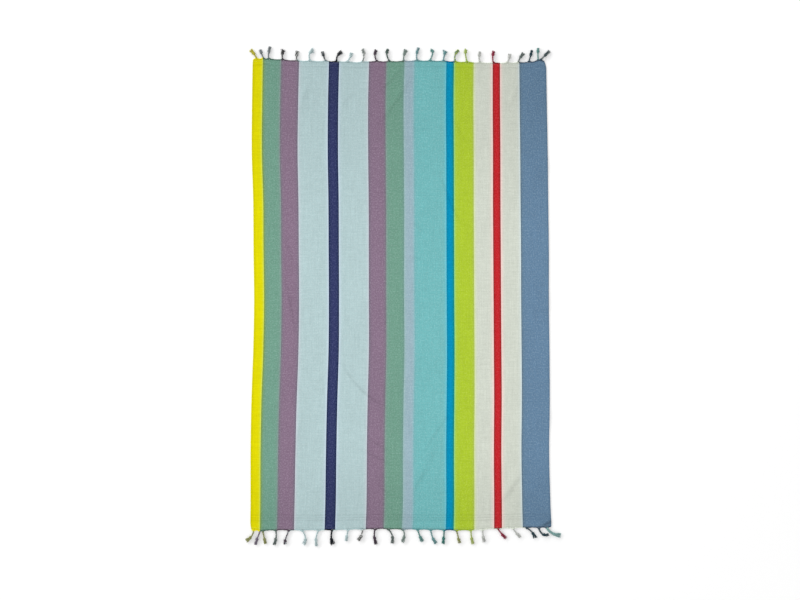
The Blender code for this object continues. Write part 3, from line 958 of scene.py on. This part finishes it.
@dataclass(frozen=True)
class Lay:
    """How the cloth lies on the floor: wandering edges, rounded corners and soft ripples."""

    length: float = 1.570
    centre: tuple[float, float] = (-0.0105, 0.0032)
    end_sway_reach: float = 0.120
    corner_reach: float = 0.025
    # The limp weave takes up a part of each ripple's height
    ripple_share: float = 0.60
    pucker_height: float = 0.0004
    pucker_reach: float = 0.012
    pucker_fade: float = 0.016
    edge_cell: float = 0.004
    least_edge_cell: float = 0.001

    @property
    def width(self) -> float:
        """The cloth's flat width."""
        return sum(stripe.width for stripe in STRIPES)

    @property
    def stripe_edges(self) -> np.ndarray:
        """Each stripe edge's distance from the left selvedge."""
        return np.r_[0, np.cumsum([stripe.width for stripe in STRIPES])]

    def from_end(self, down: np.ndarray, end: End) -> np.ndarray:
        """The distance from one end of the cloth."""
        return down if end is End.TOP else self.length - down

    def place(self, across: np.ndarray, down: np.ndarray) -> tuple[np.ndarray, np.ndarray]:
        """Maps places on the cloth to the floor.

        Args:
            across: Distances from the left selvedge.
            down: Distances from the top end.

        Returns:
            How far right and how far up they lie from the cloth's centre.
        """
        downs = [sway.down for sway in SWAYS]
        x = across - self.width / 2
        for number, (thread, _) in enumerate(SWAY_PLACES):
            wander = smooth_curve(downs, [getattr(sway, thread) for sway in SWAYS], down)
            only = [float(number == other) for other in range(len(SWAY_PLACES))]
            x = x + wander * np.interp(across, [place for _, place in SWAY_PLACES], only)
        for corner in CORNERS:
            is_left = corner.side is Side.LEFT
            from_side = across if is_left else self.width - across
            nearness = np.maximum(1 - from_side / self.corner_reach, 0) * np.maximum(
                1 - self.from_end(down, corner.end) / self.corner_reach, 0
            )
            x = x + nearness**2 * corner.inward * (1 if is_left else -1)
        y = self.length / 2 - down
        turns = [sway.across for sway in END_SWAYS]
        for end in End:
            sway = np.interp(across, turns, [getattr(sway, end.value) for sway in END_SWAYS])
            pull = np.maximum(1 - self.from_end(down, end) / self.end_sway_reach, 0) ** 2
            y = y + end.outward * pull * sway
        return x, y

    def lift(self, x: np.ndarray, y: np.ndarray, down: np.ndarray) -> np.ndarray:
        """The height of the cloth's underside: its ripples, and puckers at the tassels.

        Args:
            x: Places to the right of the cloth's centre.
            y: Places above the cloth's centre.
            down: Their distances from the top end.

        Returns:
            The height at each place.
        """
        height = self.ripple_share * np.max([ripple.lift(x, y) for ripple in RIPPLES], axis=0)
        creases = [crease.height * crease.depth(x, y) for crease in CREASES]
        height = height + np.max(creases, axis=0)
        for end, tassels in TASSELS.items():
            nearest = np.min([np.abs(x - tassel.root) for tassel in tassels], axis=0)
            fade = np.exp(-self.from_end(down, end) / self.pucker_fade)
            height = height + self.pucker_height * fade * hump(nearest, self.pucker_reach)
        return height

    def on_floor(self, points: np.ndarray) -> np.ndarray:
        """Moves points from the cloth's centre to the row frame."""
        return points + np.array((*self.centre, 0.0))

    def end_edge(self, end: End) -> tuple[np.ndarray, np.ndarray, np.ndarray]:
        """The cloth's edge at one end.

        Args:
            end: The end.

        Returns:
            Distances from the left selvedge, and how far right and up they lie.
        """
        turns = [0.0, self.width, *(sway.across for sway in END_SWAYS)]
        across = filled_places(turns, self.edge_cell, self.least_edge_cell)
        x, y = self.place(across, np.full_like(across, 0.0 if end is End.TOP else self.length))
        return across, x, y

    def dye_at(self, across: np.ndarray) -> np.ndarray:
        """The stripes' dyes at distances from the left selvedge, as linear colours."""
        dyes = np.array([linear(stripe.dye.value) for stripe in STRIPES])
        number = np.searchsorted(self.stripe_edges, across, side="right") - 1
        return dyes[np.clip(number, 0, len(STRIPES) - 1)]


@dataclass
class StripedCloth:
    """The striped cloth: a thin closed sheet with rolled edges, selvedges and headers."""

    lay: Lay
    cell: float = 0.0050
    least_cell: float = 0.0008
    cells_under: int = 3
    thickness: float = 0.0015
    selvedge_thickness: float = 0.0017
    selvedge_width: float = 0.004
    header_thickness: float = 0.0017
    header_depth: float = 0.015
    header_step: float = 0.002
    edge_inset: float = 0.0012
    edge_bulge: float = 0.0005
    bleeding: float = 0.50
    bleeding_reach: float = 0.0036
    edge_contrast: float = 0.20
    edge_columns: tuple[float, ...] = (0.0022, 0.0050, 0.0090)
    bake_width: float = 0.48
    bake_margin: float = 0.01
    bake_under_from: float = 0.5
    weft_line_width: float = 0.0026
    weft_line_relief: float = 0.00015
    weft_line_shade: float = 0.885
    top_weft_lines: tuple[float, ...] = (0.015,)
    bottom_weft_lines: tuple[float, ...] = (0.029, 0.037, 0.046)

    @property
    def header_end(self) -> float:
        """How far from the end the header has thinned out."""
        return self.header_depth + self.header_step

    def weft_lines(self) -> list[float]:
        """The places down the cloth of its heavier weft threads."""
        return [*self.top_weft_lines, *(self.lay.length - line for line in self.bottom_weft_lines)]

    def columns(self) -> np.ndarray:
        """Places across for the grid's columns, which are closer beside each stripe's edge."""
        turns = [sway.across for sway in END_SWAYS]
        for edge in self.lay.stripe_edges:
            for aside in (0.0, *self.edge_columns):
                turns += [edge - aside, edge + aside]
        for inset in (self.edge_inset, self.selvedge_width):
            turns += [inset, self.lay.width - inset]
        inside = [turn for turn in turns if -TINY < turn < self.lay.width + TINY]
        return filled_places(inside, self.cell, self.least_cell)

    def rows(self) -> np.ndarray:
        """Places down for the grid's rows, with three at each heavier weft thread."""
        turns = []
        for inset in (0.0, self.edge_inset, self.header_depth, self.header_end):
            turns += [inset, self.lay.length - inset]
        for line in self.weft_lines():
            turns += [line - self.weft_line_width, line, line + self.weft_line_width]
        return filled_places(turns, self.cell, self.least_cell)

    def thickness_at(self, across: np.ndarray, down: np.ndarray) -> np.ndarray:
        """The cloth's thickness.

        Args:
            across: Distances from the left selvedge.
            down: Distances from the top end.

        Returns:
            The thickness at each place.
        """
        from_end = np.minimum(down, self.lay.length - down)
        header = np.clip((self.header_end - from_end) / self.header_step, 0, 1)
        from_side = np.minimum(across, self.lay.width - across)
        selvedge = np.clip(2 - 2 * from_side / self.selvedge_width, 0, 1)
        thickness = self.thickness + header * (self.header_thickness - self.thickness)
        thickness = np.maximum(
            thickness, self.thickness + selvedge * (self.selvedge_thickness - self.thickness)
        )
        for line in self.weft_lines():
            thickness = thickness + self.weft_line_relief * hump(down - line, self.weft_line_width)
        return thickness

    def top_at(self, across: np.ndarray, down: np.ndarray) -> np.ndarray:
        """The points of the cloth's upper side at places across and down."""
        x, y = self.lay.place(across, down)
        z = self.lay.lift(x, y, down) + self.thickness_at(across, down)
        return np.stack([x, y, z], axis=-1)

    def column_dyes(self, columns: np.ndarray) -> np.ndarray:
        """The dye at both sides of each cell of a row.

        In the wash a little of each dye bleeds into the next stripe. Its hue spreads, and
        the paler stripe looks paler still beside the darker one.

        Args:
            columns: Places across of the grid's columns.

        Returns:
            A linear colour for the left and the right side of each cell.
        """
        middles = (columns[:-1] + columns[1:]) / 2
        edges = self.lay.stripe_edges[1:-1]
        own = self.lay.dye_at(middles) ** (1 / DISPLAY_GAMMA)
        own_light = (own @ LIGHTNESS)[:, None]
        dyes = np.empty((len(middles), 2, 3))
        for side, places in enumerate((columns[:-1], columns[1:])):
            distances = np.abs(places[:, None] - edges[None])
            edge = edges[np.argmin(distances, axis=1)]
            other = self.lay.dye_at(2 * edge - middles) ** (1 / DISPLAY_GAMMA)
            other_light = (other @ LIGHTNESS)[:, None]
            nearness = np.exp(-distances.min(axis=1) / self.bleeding_reach)[:, None]
            hue = own - own_light
            hue = hue + self.bleeding * nearness * (other - other_light - hue)
            light = own_light + self.edge_contrast * nearness * (own_light - other_light)
            dyes[:, side] = np.clip(light + hue, 0, 1) ** DISPLAY_GAMMA
        return dyes

    def row_shades(self, rows: np.ndarray) -> np.ndarray:
        """How much the heavier weft threads darken each row."""
        humps = [hump(rows - line, self.weft_line_width) for line in self.weft_lines()]
        return 1 + np.max(humps, axis=0) * (self.weft_line_shade - 1)

    def build(self, finish: PlainWeaveCotton) -> bpy.types.Object:
        """Makes the cloth.

        Args:
            finish: The cloth's finish.

        Returns:
            The cloth, as one closed piece.
        """
        columns, rows = self.columns(), self.rows()
        across, down = np.meshgrid(columns, rows)
        top = self.top_at(across, down)
        under = top.copy()
        under[..., 2] -= self.thickness_at(across, down)
        numbers = np.arange(top[..., 0].size).reshape(across.shape)
        size = numbers.size
        ring = np.concatenate(
            [numbers[0, :-1], numbers[:-1, -1], numbers[-1, :0:-1], numbers[:0:-1, 0]]
        )
        flat_top, flat_under = top.reshape(-1, 3), under.reshape(-1, 3)
        outline = flat_top[ring, :2]
        run = np.roll(outline, -1, axis=0) - np.roll(outline, 1, axis=0)
        outward = np.c_[-run[:, 1], run[:, 0]] / np.linalg.norm(run, axis=1)[:, None]
        middle = (flat_top[ring] + flat_under[ring]) / 2
        middle[:, :2] += self.edge_bulge * outward

        upper = np.stack(
            [numbers[:-1, :-1], numbers[1:, :-1], numbers[1:, 1:], numbers[:-1, 1:]], axis=-1
        ).reshape(-1, 4)
        lower = self.underside(columns, numbers)
        bulge = 2 * size + np.arange(len(ring))
        next_ring, next_bulge = np.roll(ring, -1), np.roll(bulge, -1)
        walls = np.concatenate([
            np.stack([ring, next_ring, next_bulge, bulge], axis=-1),
            np.stack([bulge, next_bulge, size + next_ring, size + ring], axis=-1),
        ])
        faces = upper.tolist() + [[size + corner for corner in face] for face in lower]
        faces += walls.tolist()

        # Scales the dyes: painted shade towards the ends, along the selvedges and in the creases,
        # the paler bottom header, and the heavier weft threads
        dye_and_painted_shade = (1 + sum(shade_patch.at(across, down) for shade_patch in SHADE_AND_DYE_PATCHES))[..., None]
        dye_and_painted_shade = dye_and_painted_shade * self.row_shades(rows)[:, None, None]
        # Painted shade along the creases
        creases = [crease.shade * crease.depth(top[..., 0], top[..., 1]) for crease in CREASES]
        dye_and_painted_shade = dye_and_painted_shade * (1 - np.max(creases, axis=0))[..., None]
        column_dyes = self.column_dyes(columns)
        left, right = column_dyes[None, :, 0], column_dyes[None, :, 1]
        upper_dyes = np.stack(
            [
                left * dye_and_painted_shade[:-1, :-1],
                left * dye_and_painted_shade[1:, :-1],
                right * dye_and_painted_shade[1:, 1:],
                right * dye_and_painted_shade[:-1, 1:],
            ],
            axis=2,
        ).reshape(-1, 3)
        flat_across = across.ravel()
        lower_dyes = np.concatenate([
            np.repeat(self.lay.dye_at(flat_across[face].mean(keepdims=True)), len(face), axis=0)
            for face in lower
        ])
        wall_middles = (flat_across[ring] + flat_across[next_ring]) / 2
        wall_dyes = self.lay.dye_at(wall_middles) * dye_and_painted_shade.reshape(-1, 1)[ring]
        wall_dyes = np.tile(np.repeat(wall_dyes, 4, axis=0), (2, 1))

        on_cloth = np.c_[flat_across, down.ravel()]
        wrap = np.c_[outward[:, 0], -outward[:, 1]] * self.thickness / 2
        metres = np.concatenate([on_cloth, on_cloth, on_cloth[ring] + wrap])
        # The upper side is baked on the left half of the square, the underside on the right
        scale = self.bake_width / self.lay.width
        layout = metres * scale + self.bake_margin
        layout[size:2 * size, 0] += self.bake_under_from
        corners = np.concatenate([np.ravel(face) for face in faces])
        wall_corners = slice(len(corners) - walls.size // 2, None)
        metres, layout = metres[corners], layout[corners]
        doubled = np.stack([0 * wrap, 0 * wrap, np.roll(wrap, -1, axis=0), wrap], axis=1)
        metres[wall_corners] += 2 * doubled.reshape(-1, 2)
        layout[wall_corners] = metres[wall_corners] * scale + self.bake_margin

        cloth = Draft()
        cloth.add(
            self.lay.on_floor(np.concatenate([flat_top, flat_under, middle])),
            faces,
            np.concatenate([upper_dyes, lower_dyes, wall_dyes]),
            metres,
            layout,
        )
        return cloth.build("striped_cloth", finish.material())

    def underside(self, columns: np.ndarray, numbers: np.ndarray) -> list[list[int]]:
        """The underside's faces, which are larger than the upper side's and still meet its
        outline at every point.

        Args:
            columns: Places across of the grid's columns.
            numbers: The points' numbers, by row and column.

        Returns:
            The faces, as numbers of points.
        """
        last_row, last_column = numbers.shape[0] - 1, numbers.shape[1] - 1
        at_edge = np.abs(columns[:, None] - self.lay.stripe_edges[None]).min(axis=1) < TINY
        kept = {
            number for number in range(last_column + 1)
            if number % self.cells_under == 0 or at_edge[number]
        }
        kept_columns = sorted(kept | {last_column})
        kept_rows = [*range(0, last_row, self.cells_under), last_row]
        faces = []
        for top, bottom in zip(kept_rows, kept_rows[1:]):
            for left, right in zip(kept_columns, kept_columns[1:]):
                across = 1 if top == 0 else right - left
                face = list(numbers[top, left:right:across])
                down = 1 if right == last_column else bottom - top
                face += list(numbers[top:bottom:down, right])
                across = 1 if bottom == last_row else right - left
                face += list(numbers[bottom, right:left:-across])
                down = 1 if left == 0 else bottom - top
                face += list(numbers[bottom:top:-down, left])
                faces.append([int(number) for number in face])
        return faces


@dataclass
class HeaderStitches:
    """A running stitch along one header, which keeps its weft from fraying."""

    cloth: StripedCloth
    end: End
    from_end: float = 0.0045
    pitch: float = 0.0072
    length: float = 0.0042
    radius: float = 0.00045
    sunk: float = 0.0005
    squareness: int = 4
    dye: str = "#B9C0BA"
    own_share: float = 0.80
    rings: int = 6

    def build(self, finish: TwistedCottonYarn) -> bpy.types.Object:
        """Sews the stitches.

        Args:
            finish: The thread's finish.

        Returns:
            All stitches of this end, as one piece.
        """
        lay = self.cloth.lay
        thread = Skein()
        down = self.from_end if self.end is End.TOP else lay.length - self.from_end
        for start in np.arange(self.pitch / 2, lay.width - self.pitch, self.pitch):
            across = np.linspace(start, start + self.length, self.rings)
            path = self.cloth.top_at(across, np.full(self.rings, down))
            ends = np.abs(np.linspace(-1, 1, self.rings)) ** self.squareness
            path[:, 2] += self.radius / 2 - self.sunk * ends
            dye = (1 - self.own_share) * np.array(linear(self.dye))
            dye = dye + self.own_share * lay.dye_at(across)
            thread.add_thread(lay.on_floor(path), self.radius, dye)
        return thread.build(f"header_stitches_{self.end.value}", finish.material())


@dataclass
class GatheredEdge:
    """The warp ends past one end of the cloth: rolled into a thin rope along the edge, and
    drawn over it into the root of each tassel."""

    lay: Lay
    end: End
    # Painted light: how much the bunched threads' light and shade deepen their dye
    bunch_shading_gain: float = 1.55
    bunch_shading_power: float = 0.90
    rope_yarns: int = 4
    rope_yarn_radius: float = 0.0007
    rope_radius: float = 0.0007
    rope_pitch: float = 0.009
    rope_step: float = 0.0014
    rope_out: float = 0.0018
    rope_height: float = 0.0015
    root_out: float = 0.0026
    root_reach: float = 0.011
    yarns_a_side: int = 7
    yarn_radius: float = 0.00055
    yarn_rings: int = 12
    nearest_lane: float = 0.0008
    farthest_lane: float = 0.0034
    root_place: float = 0.0085
    root_width: float = 0.0012
    reach: float = 0.022
    spacing_chance: tuple[float, float] = (0.2, 0.8)
    gathering: float = 1.15
    leaving_share: float = 0.2
    pull: float = 1.5
    yarn_height: float = 0.0011
    yarn_rise: float = 0.0014
    height_chance: float = 0.0004

    def shares(self) -> list[tuple[float, float]]:
        """Where the warp of each tassel starts and ends, to the right of the centre."""
        _, x, _ = self.lay.end_edge(self.end)
        roots = [tassel.root for tassel in TASSELS[self.end]]
        middles = [(one + other) / 2 for one, other in zip(roots, roots[1:])]
        bounds = [float(x[0]), *middles, float(x[-1])]
        return list(zip(bounds, bounds[1:]))

    def dye_at(self, x: np.ndarray) -> np.ndarray:
        """The dye in the loose threads at places along the edge: they bunch up, and light
        that bounces between them deepens it."""
        across, edge_x, _ = self.lay.end_edge(self.end)
        return self.with_bunch_shading(self.lay.dye_at(np.interp(x, edge_x, across)))

    def with_bunch_shading(self, dye: np.ndarray) -> np.ndarray:
        """Painted light: the deeper look that bunching gives to a dye, where light bounces between
        the threads and shade falls between them.
        """
        return self.bunch_shading_gain * dye * (dye @ LIGHTNESS)[..., None] ** self.bunch_shading_power

    def edge_y(self, x: np.ndarray) -> np.ndarray:
        """How far up the cloth's edge lies at places along it."""
        _, edge_x, edge_y = self.lay.end_edge(self.end)
        return np.interp(x, edge_x, edge_y)

    def path(self, x: np.ndarray, out: np.ndarray, height: np.ndarray) -> np.ndarray:
        """Points beside the cloth's edge.

        Args:
            x: Places to the right of the centre.
            out: How far out from the edge they are.
            height: Their heights.

        Returns:
            The points.
        """
        y = self.edge_y(x) + self.end.outward * out
        return self.lay.on_floor(np.stack([x, y, height], axis=-1))

    def add_rope(self, skein: Skein) -> None:
        """Rolls the rope along the edge, which rises a little at each root."""
        _, edge_x, _ = self.lay.end_edge(self.end)
        start, finish = edge_x[0] + self.rope_radius, edge_x[-1] - self.rope_radius
        x = np.linspace(start, finish, round((finish - start) / self.rope_step))
        roots = np.array([tassel.root for tassel in TASSELS[self.end]])
        nearest = np.abs(x[:, None] - roots[None]).min(axis=1)
        out = self.rope_out + self.root_out * hump(nearest, self.root_reach)
        for yarn in range(self.rope_yarns):
            turn = 2 * np.pi * (x / self.rope_pitch + yarn / self.rope_yarns)
            path = self.path(
                x,
                out + self.rope_radius * np.cos(turn),
                self.rope_height + self.rope_radius * np.sin(turn),
            )
            skein.add_thread(path, self.rope_yarn_radius, self.dye_at(x))

    def add_fan(self, skein: Skein, root: float, bound: float, chance: random.Random) -> None:
        """Draws the warp ends between a root and one bound of its share into the root.

        Args:
            skein: Takes the threads.
            root: The root's place.
            bound: Where its share of the warp ends on one side.
            chance: Gives each thread its own small unevenness.
        """
        share = min(abs(bound - root), self.reach)
        side = 1 if bound > root else -1
        t = np.linspace(0, 1, self.yarn_rings)
        for yarn in range(self.yarns_a_side):
            spread = (yarn + chance.uniform(*self.spacing_chance)) / self.yarns_a_side
            distance = share * spread
            lane = self.nearest_lane + (self.farthest_lane - self.nearest_lane) * spread
            left = distance * (1 - t) ** self.gathering
            x = root + side * (left + self.root_width * spread * t)
            leave = np.clip(t / self.leaving_share, 0, 1)
            out = lane * leave * (2 - leave)
            near = hump(x - root, self.root_reach) * t
            out = out + (self.root_place - out) * near**self.pull
            height = self.yarn_height + self.yarn_rise * np.sin(np.pi / 2 * t)
            height = height + chance.uniform(0, self.height_chance)
            dye = self.dye_at(np.array([root + side * distance]))
            skein.add_thread(self.path(x, out, height), self.yarn_radius, dye)

    def build(self, finish: TwistedCottonYarn) -> bpy.types.Object:
        """Makes the gathered edge.

        Args:
            finish: The yarn's finish.

        Returns:
            The rope and all fans of this end, as one piece.
        """
        skein = Skein()
        chance = random.Random(f"gathered edge {self.end.value}")
        self.add_rope(skein)
        for tassel, bounds in zip(TASSELS[self.end], self.shares()):
            for bound in bounds:
                self.add_fan(skein, tassel.root, bound, chance)
        return skein.build(f"gathered_edge_{self.end.value}", finish.material())


@dataclass
class TasselRow:
    """The tassels at one end: two twisted plies, an overhand knot and a loose tuft each."""

    edge: GatheredEdge
    # The tassels wear in use, which greys their dyes
    greyness: float = 0.30
    root_inset: float = 0.0045
    measured_points: int = 20
    step: float = 0.0009
    plies: int = 2
    ply_yarns: int = 3
    yarn_radius: float = 0.00070
    ply_radius: float = 0.00080
    cord_radius: float = 0.00135
    cord_pitch: float = 0.0115
    speckled_pitch: float = 0.0160
    ply_pitch: float = 0.0066
    cord_height: float = 0.0029
    cord_tuck: float = 0.03
    cord_rise: float = 0.25
    least_cord_rings: int = 12
    knot_at: float = 0.64
    knot_length: float = 0.0090
    knot_radius: float = 0.0040
    knot_flatness: float = 0.72
    knot_height: float = 0.0040
    knot_turns: float = 2.6
    knot_rings: int = 38
    knot_slant: float = 0.0009
    knot_lead: float = 1.0
    knot_tuck: float = 0.45
    knot_roundness: int = 6
    knot_ply_turns: int = 5
    knot_yarn_radius: float = 0.00091
    tuft_yarns: int = 30
    tuft_yarn_radius: float = 0.00062
    tuft_yarn_sides: int = 4
    tuft_half_width: float = 0.0050
    tuft_half_height: float = 0.0019
    tuft_rings: int = 8
    tuft_tuck: float = 0.02
    tuft_least_spread: float = 0.02
    tuft_tips: tuple[float, float] = (0.93, 1.02)
    tuft_neck: float = 0.30
    tuft_opening: float = 0.8
    tuft_wave: float = 0.0005
    tuft_waves: float = 1.3
    tuft_tip_height: float = 0.0024
    tuft_taper: float = 0.7

    def centre_line(self, tassel: TasselLay, t: np.ndarray) -> tuple[np.ndarray, np.ndarray]:
        """The tassel's centre line on the floor.

        Args:
            tassel: How the tassel lies.
            t: Shares of the way from its root to its tip.

        Returns:
            Its points, and the level direction across it at each.
        """
        out = self.edge.end.outward
        start = self.edge.edge_y(np.array([tassel.root]))[0] + out * self.root_inset
        root = np.array((tassel.root, start, 0.0))
        knee = root + (tassel.knee_right, out * tassel.knee_out, 0.0)
        tip = root + (tassel.tip_right, out * tassel.tip_out, 0.0)
        pull = 2 * knee - (root + tip) / 2
        t = t[:, None]
        points = (1 - t) ** 2 * root + 2 * t * (1 - t) * pull + t**2 * tip
        run = 2 * (1 - t) * (pull - root) + 2 * t * (tip - pull)
        run = run / np.linalg.norm(run, axis=1)[:, None]
        return points, np.c_[-run[:, 1], run[:, 0], run[:, 2]]

    def around(
        self, tassel: TasselLay, t: np.ndarray, aside: np.ndarray, height: np.ndarray
    ) -> np.ndarray:
        """Points beside the tassel's centre line, in the row frame.

        Args:
            tassel: How the tassel lies.
            t: Shares of the way from its root to its tip.
            aside: Level distances from the centre line.
            height: Heights over the floor.

        Returns:
            The points.
        """
        points, sideways = self.centre_line(tassel, t)
        points = points + sideways * aside[:, None]
        points[:, 2] = height
        return self.edge.lay.on_floor(points)

    def length(self, tassel: TasselLay) -> float:
        """The length of the tassel's centre line."""
        points, _ = self.centre_line(tassel, np.linspace(0, 1, self.measured_points))
        return float(np.linalg.norm(np.diff(points, axis=0), axis=1).sum())

    def add_cord(
        self, skein: Skein, tassel: TasselLay, dyes: np.ndarray, chance: random.Random
    ) -> None:
        """Twists the cord from the root into the knot.

        Args:
            skein: Takes the threads.
            tassel: How the tassel lies.
            dyes: A dye for each yarn.
            chance: Turns each cord its own way.
        """
        length = self.length(tassel)
        reach = self.knot_at + self.cord_tuck
        rings = max(self.least_cord_rings, round(length * reach / self.step))
        t = np.linspace(0, reach, rings)
        start = chance.uniform(0, 1)
        pitch = self.speckled_pitch if tassel.second else self.cord_pitch
        rise = (self.knot_height - self.cord_height) * hump(t - self.knot_at, self.cord_rise)
        lifted = self.cord_height + rise
        for ply in range(self.plies):
            turn = 2 * np.pi * (t * length / pitch + ply / self.plies + start)
            for yarn in range(self.ply_yarns):
                own = turn + 2 * np.pi * (t * length / self.ply_pitch + yarn / self.ply_yarns)
                aside = self.cord_radius * np.cos(turn) + self.ply_radius * np.cos(own)
                aside = aside * tassel.girth
                height = self.cord_radius * np.sin(turn) + self.ply_radius * np.sin(own)
                path = self.around(tassel, t, aside, lifted + height)
                radius = self.yarn_radius * math.sqrt(tassel.girth)
                skein.add_thread(path, radius, dyes[ply * self.ply_yarns + yarn])

    def add_knot(
        self, skein: Skein, tassel: TasselLay, dyes: np.ndarray, chance: random.Random
    ) -> None:
        """Winds the cord round itself into a knot.

        Args:
            skein: Takes the threads.
            tassel: How the tassel lies.
            dyes: A dye for each yarn.
            chance: Turns each knot its own way.
        """
        length = self.length(tassel)
        wind = np.linspace(0, 1, self.knot_rings)
        start = chance.uniform(0, 1)
        turn = 2 * np.pi * (wind * self.knot_turns + start)
        along = self.knot_at + (wind - 0.5) * self.knot_length / length
        slant = self.knot_slant * np.cos(turn + self.knot_lead) / length
        tuck = 1 - self.knot_tuck * np.abs(2 * wind - 1) ** self.knot_roundness
        for yarn in range(self.ply_yarns):
            own = 2 * np.pi * (wind * self.knot_ply_turns + yarn / self.ply_yarns)
            radius = self.knot_radius * tuck + self.ply_radius * np.cos(own)
            height = self.knot_height + self.knot_flatness * radius * np.sin(turn)
            path = self.around(
                tassel,
                along + slant + self.ply_radius * np.sin(own) / length,
                radius * np.cos(turn),
                np.maximum(height, self.knot_yarn_radius),
            )
            skein.add_thread(path, self.knot_yarn_radius, dyes[yarn * self.plies])

    def add_tuft(
        self, skein: Skein, tassel: TasselLay, dyes: np.ndarray, chance: random.Random
    ) -> None:
        """Lets the yarns loose past the knot.

        Args:
            skein: Takes the threads.
            tassel: How the tassel lies.
            dyes: A dye for each yarn.
            chance: Spreads the yarns.
        """
        share = np.linspace(0, 1, self.tuft_rings)
        neck = self.knot_at + self.tuft_tuck
        opening = np.sin(np.pi / 2 * share) ** self.tuft_opening
        opened = self.tuft_neck + (1 - self.tuft_neck) * opening
        fallen = self.knot_height + (self.tuft_tip_height - self.knot_height) * share
        radii = self.tuft_yarn_radius * np.linspace(1, self.tuft_taper, self.tuft_rings)
        for number in range(self.tuft_yarns):
            angle = chance.uniform(0, 2 * np.pi)
            spread = math.sqrt(chance.uniform(self.tuft_least_spread, 1))
            lock = tassel.fork * (1 if number % 2 else -1)
            tip = chance.uniform(*self.tuft_tips)
            t = neck + (tip - neck) * share
            wave = 2 * np.pi * (share * self.tuft_waves + chance.uniform(0, 1))
            aside = self.tuft_half_width * tassel.tuft * spread * math.cos(angle) * opened
            aside = aside + self.tuft_wave * np.sin(wave) * share + lock * share
            height = fallen + self.tuft_half_height * spread * math.sin(angle) * opened
            height = np.maximum(height, self.tuft_yarn_radius)
            path = self.around(tassel, t, aside, height)
            dye = dyes[chance.randrange(len(dyes))]
            skein.add_thread(path, radii, dye, self.tuft_yarn_sides)

    def build(self, finish: TwistedCottonYarn) -> bpy.types.Object:
        """Makes the tassels.

        Args:
            finish: The yarn's finish.

        Returns:
            All tassels of this end, as one piece.
        """
        skein = Skein()
        end = self.edge.end
        chance = random.Random(f"tassels {end.value}")
        yarns = self.plies * self.ply_yarns
        for tassel, (left, right) in zip(TASSELS[end], self.edge.shares()):
            dyes = self.edge.dye_at(np.linspace(left, right, 2 * yarns + 1)[1::2])
            dyes = dyes + self.greyness * ((dyes @ LIGHTNESS)[:, None] - dyes)
            if tassel.dye:
                plies = (tassel.dye, tassel.second or tassel.dye)
                dyes = np.repeat([linear(dye.value) for dye in plies], self.ply_yarns, axis=0)
            self.add_cord(skein, tassel, dyes, chance)
            self.add_knot(skein, tassel, dyes, chance)
            self.add_tuft(skein, tassel, dyes, chance)
        return skein.build(f"tassels_{end.value}", finish.material())


@dataclass(frozen=True)
class Studio:
    """A plain pale floor, a bright even room, a long low softbox and the camera."""

    floor_size: float = 16.0
    floor_drop: float = 0.0003
    room_light: float = 0.895
    room_colour: str = "#FFFFFF"
    key_power: float = 1350.0
    key_size: tuple[float, float] = (1.6, 22.0)
    key_distance: float = 12.0
    key_elevation: float = 18.0
    key_azimuth: float = 144.0
    lens: float = 70.0
    camera_place: tuple[float, float, float] = (-0.0110, -0.0123, 5.242)

    def build(self) -> None:
        """Sets up the floor, the lights and the camera."""
        scene = bpy.context.scene
        scene.view_settings.view_transform = "Standard"
        bpy.ops.mesh.primitive_plane_add(size=self.floor_size, location=(0, 0, -self.floor_drop))
        floor = bpy.context.object
        floor.name = floor.data.name = "studio_floor"
        floor.data.materials.append(FloorPaint().material())

        world = bpy.data.worlds.new("bright_room")
        world.use_nodes = True
        room = world.node_tree.nodes["Background"]
        room.inputs["Color"].default_value = (*linear(self.room_colour), 1.0)
        room.inputs["Strength"].default_value = self.room_light
        scene.world = world

        softbox = bpy.data.lights.new("long_softbox", "AREA")
        softbox.energy = self.key_power
        softbox.shape = "RECTANGLE"
        softbox.size, softbox.size_y = self.key_size
        lamp = bpy.data.objects.new("long_softbox", softbox)
        elevation, azimuth = math.radians(self.key_elevation), math.radians(self.key_azimuth)
        level = self.key_distance * math.cos(elevation)
        lamp.location = (
            level * math.cos(azimuth),
            level * math.sin(azimuth),
            self.key_distance * math.sin(elevation),
        )
        lamp.rotation_euler = (0.0, math.pi / 2 - elevation, azimuth)
        scene.collection.objects.link(lamp)

        camera = bpy.data.cameras.new("camera")
        camera.lens = self.lens
        viewer = bpy.data.objects.new("camera", camera)
        viewer.location = self.camera_place
        scene.collection.objects.link(viewer)
        scene.camera = viewer


def fit(piece: bpy.types.Object, slot: str, *nodes: str) -> bpy.types.Object:
    """Fixes a piece to the towel, and reports it.

    Args:
        piece: The piece.
        slot: Not used.
        nodes: The CAD nodes that it stands for.

    Returns:
        The piece.
    """
    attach(piece, BODY)
    if nodes:
        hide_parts(*nodes)
    log.info("%s: %d faces", piece.name, len(piece.data.polygons))
    return piece


def main() -> None:
    """Builds the studio and the towel's sub-assemblies, in order."""
    logging.basicConfig(level=logging.INFO, format="%(name)s: %(message)s")
    Studio().build()
    lay = Lay()
    yarn = TwistedCottonYarn()
    striped = StripedCloth(lay)
    cloth = fit(striped.build(PlainWeaveCotton()), "cloth", "cloth")
    for end in End:
        edge = GatheredEdge(lay, end)
        node = "fringe_" + end.value
        fit(HeaderStitches(striped, end).build(yarn), "cloth")
        fit(edge.build(yarn), "fringe", node)
        fit(TasselRow(edge).build(yarn), "fringe", node)
    lay.width


if __name__ == "__main__":
    main()
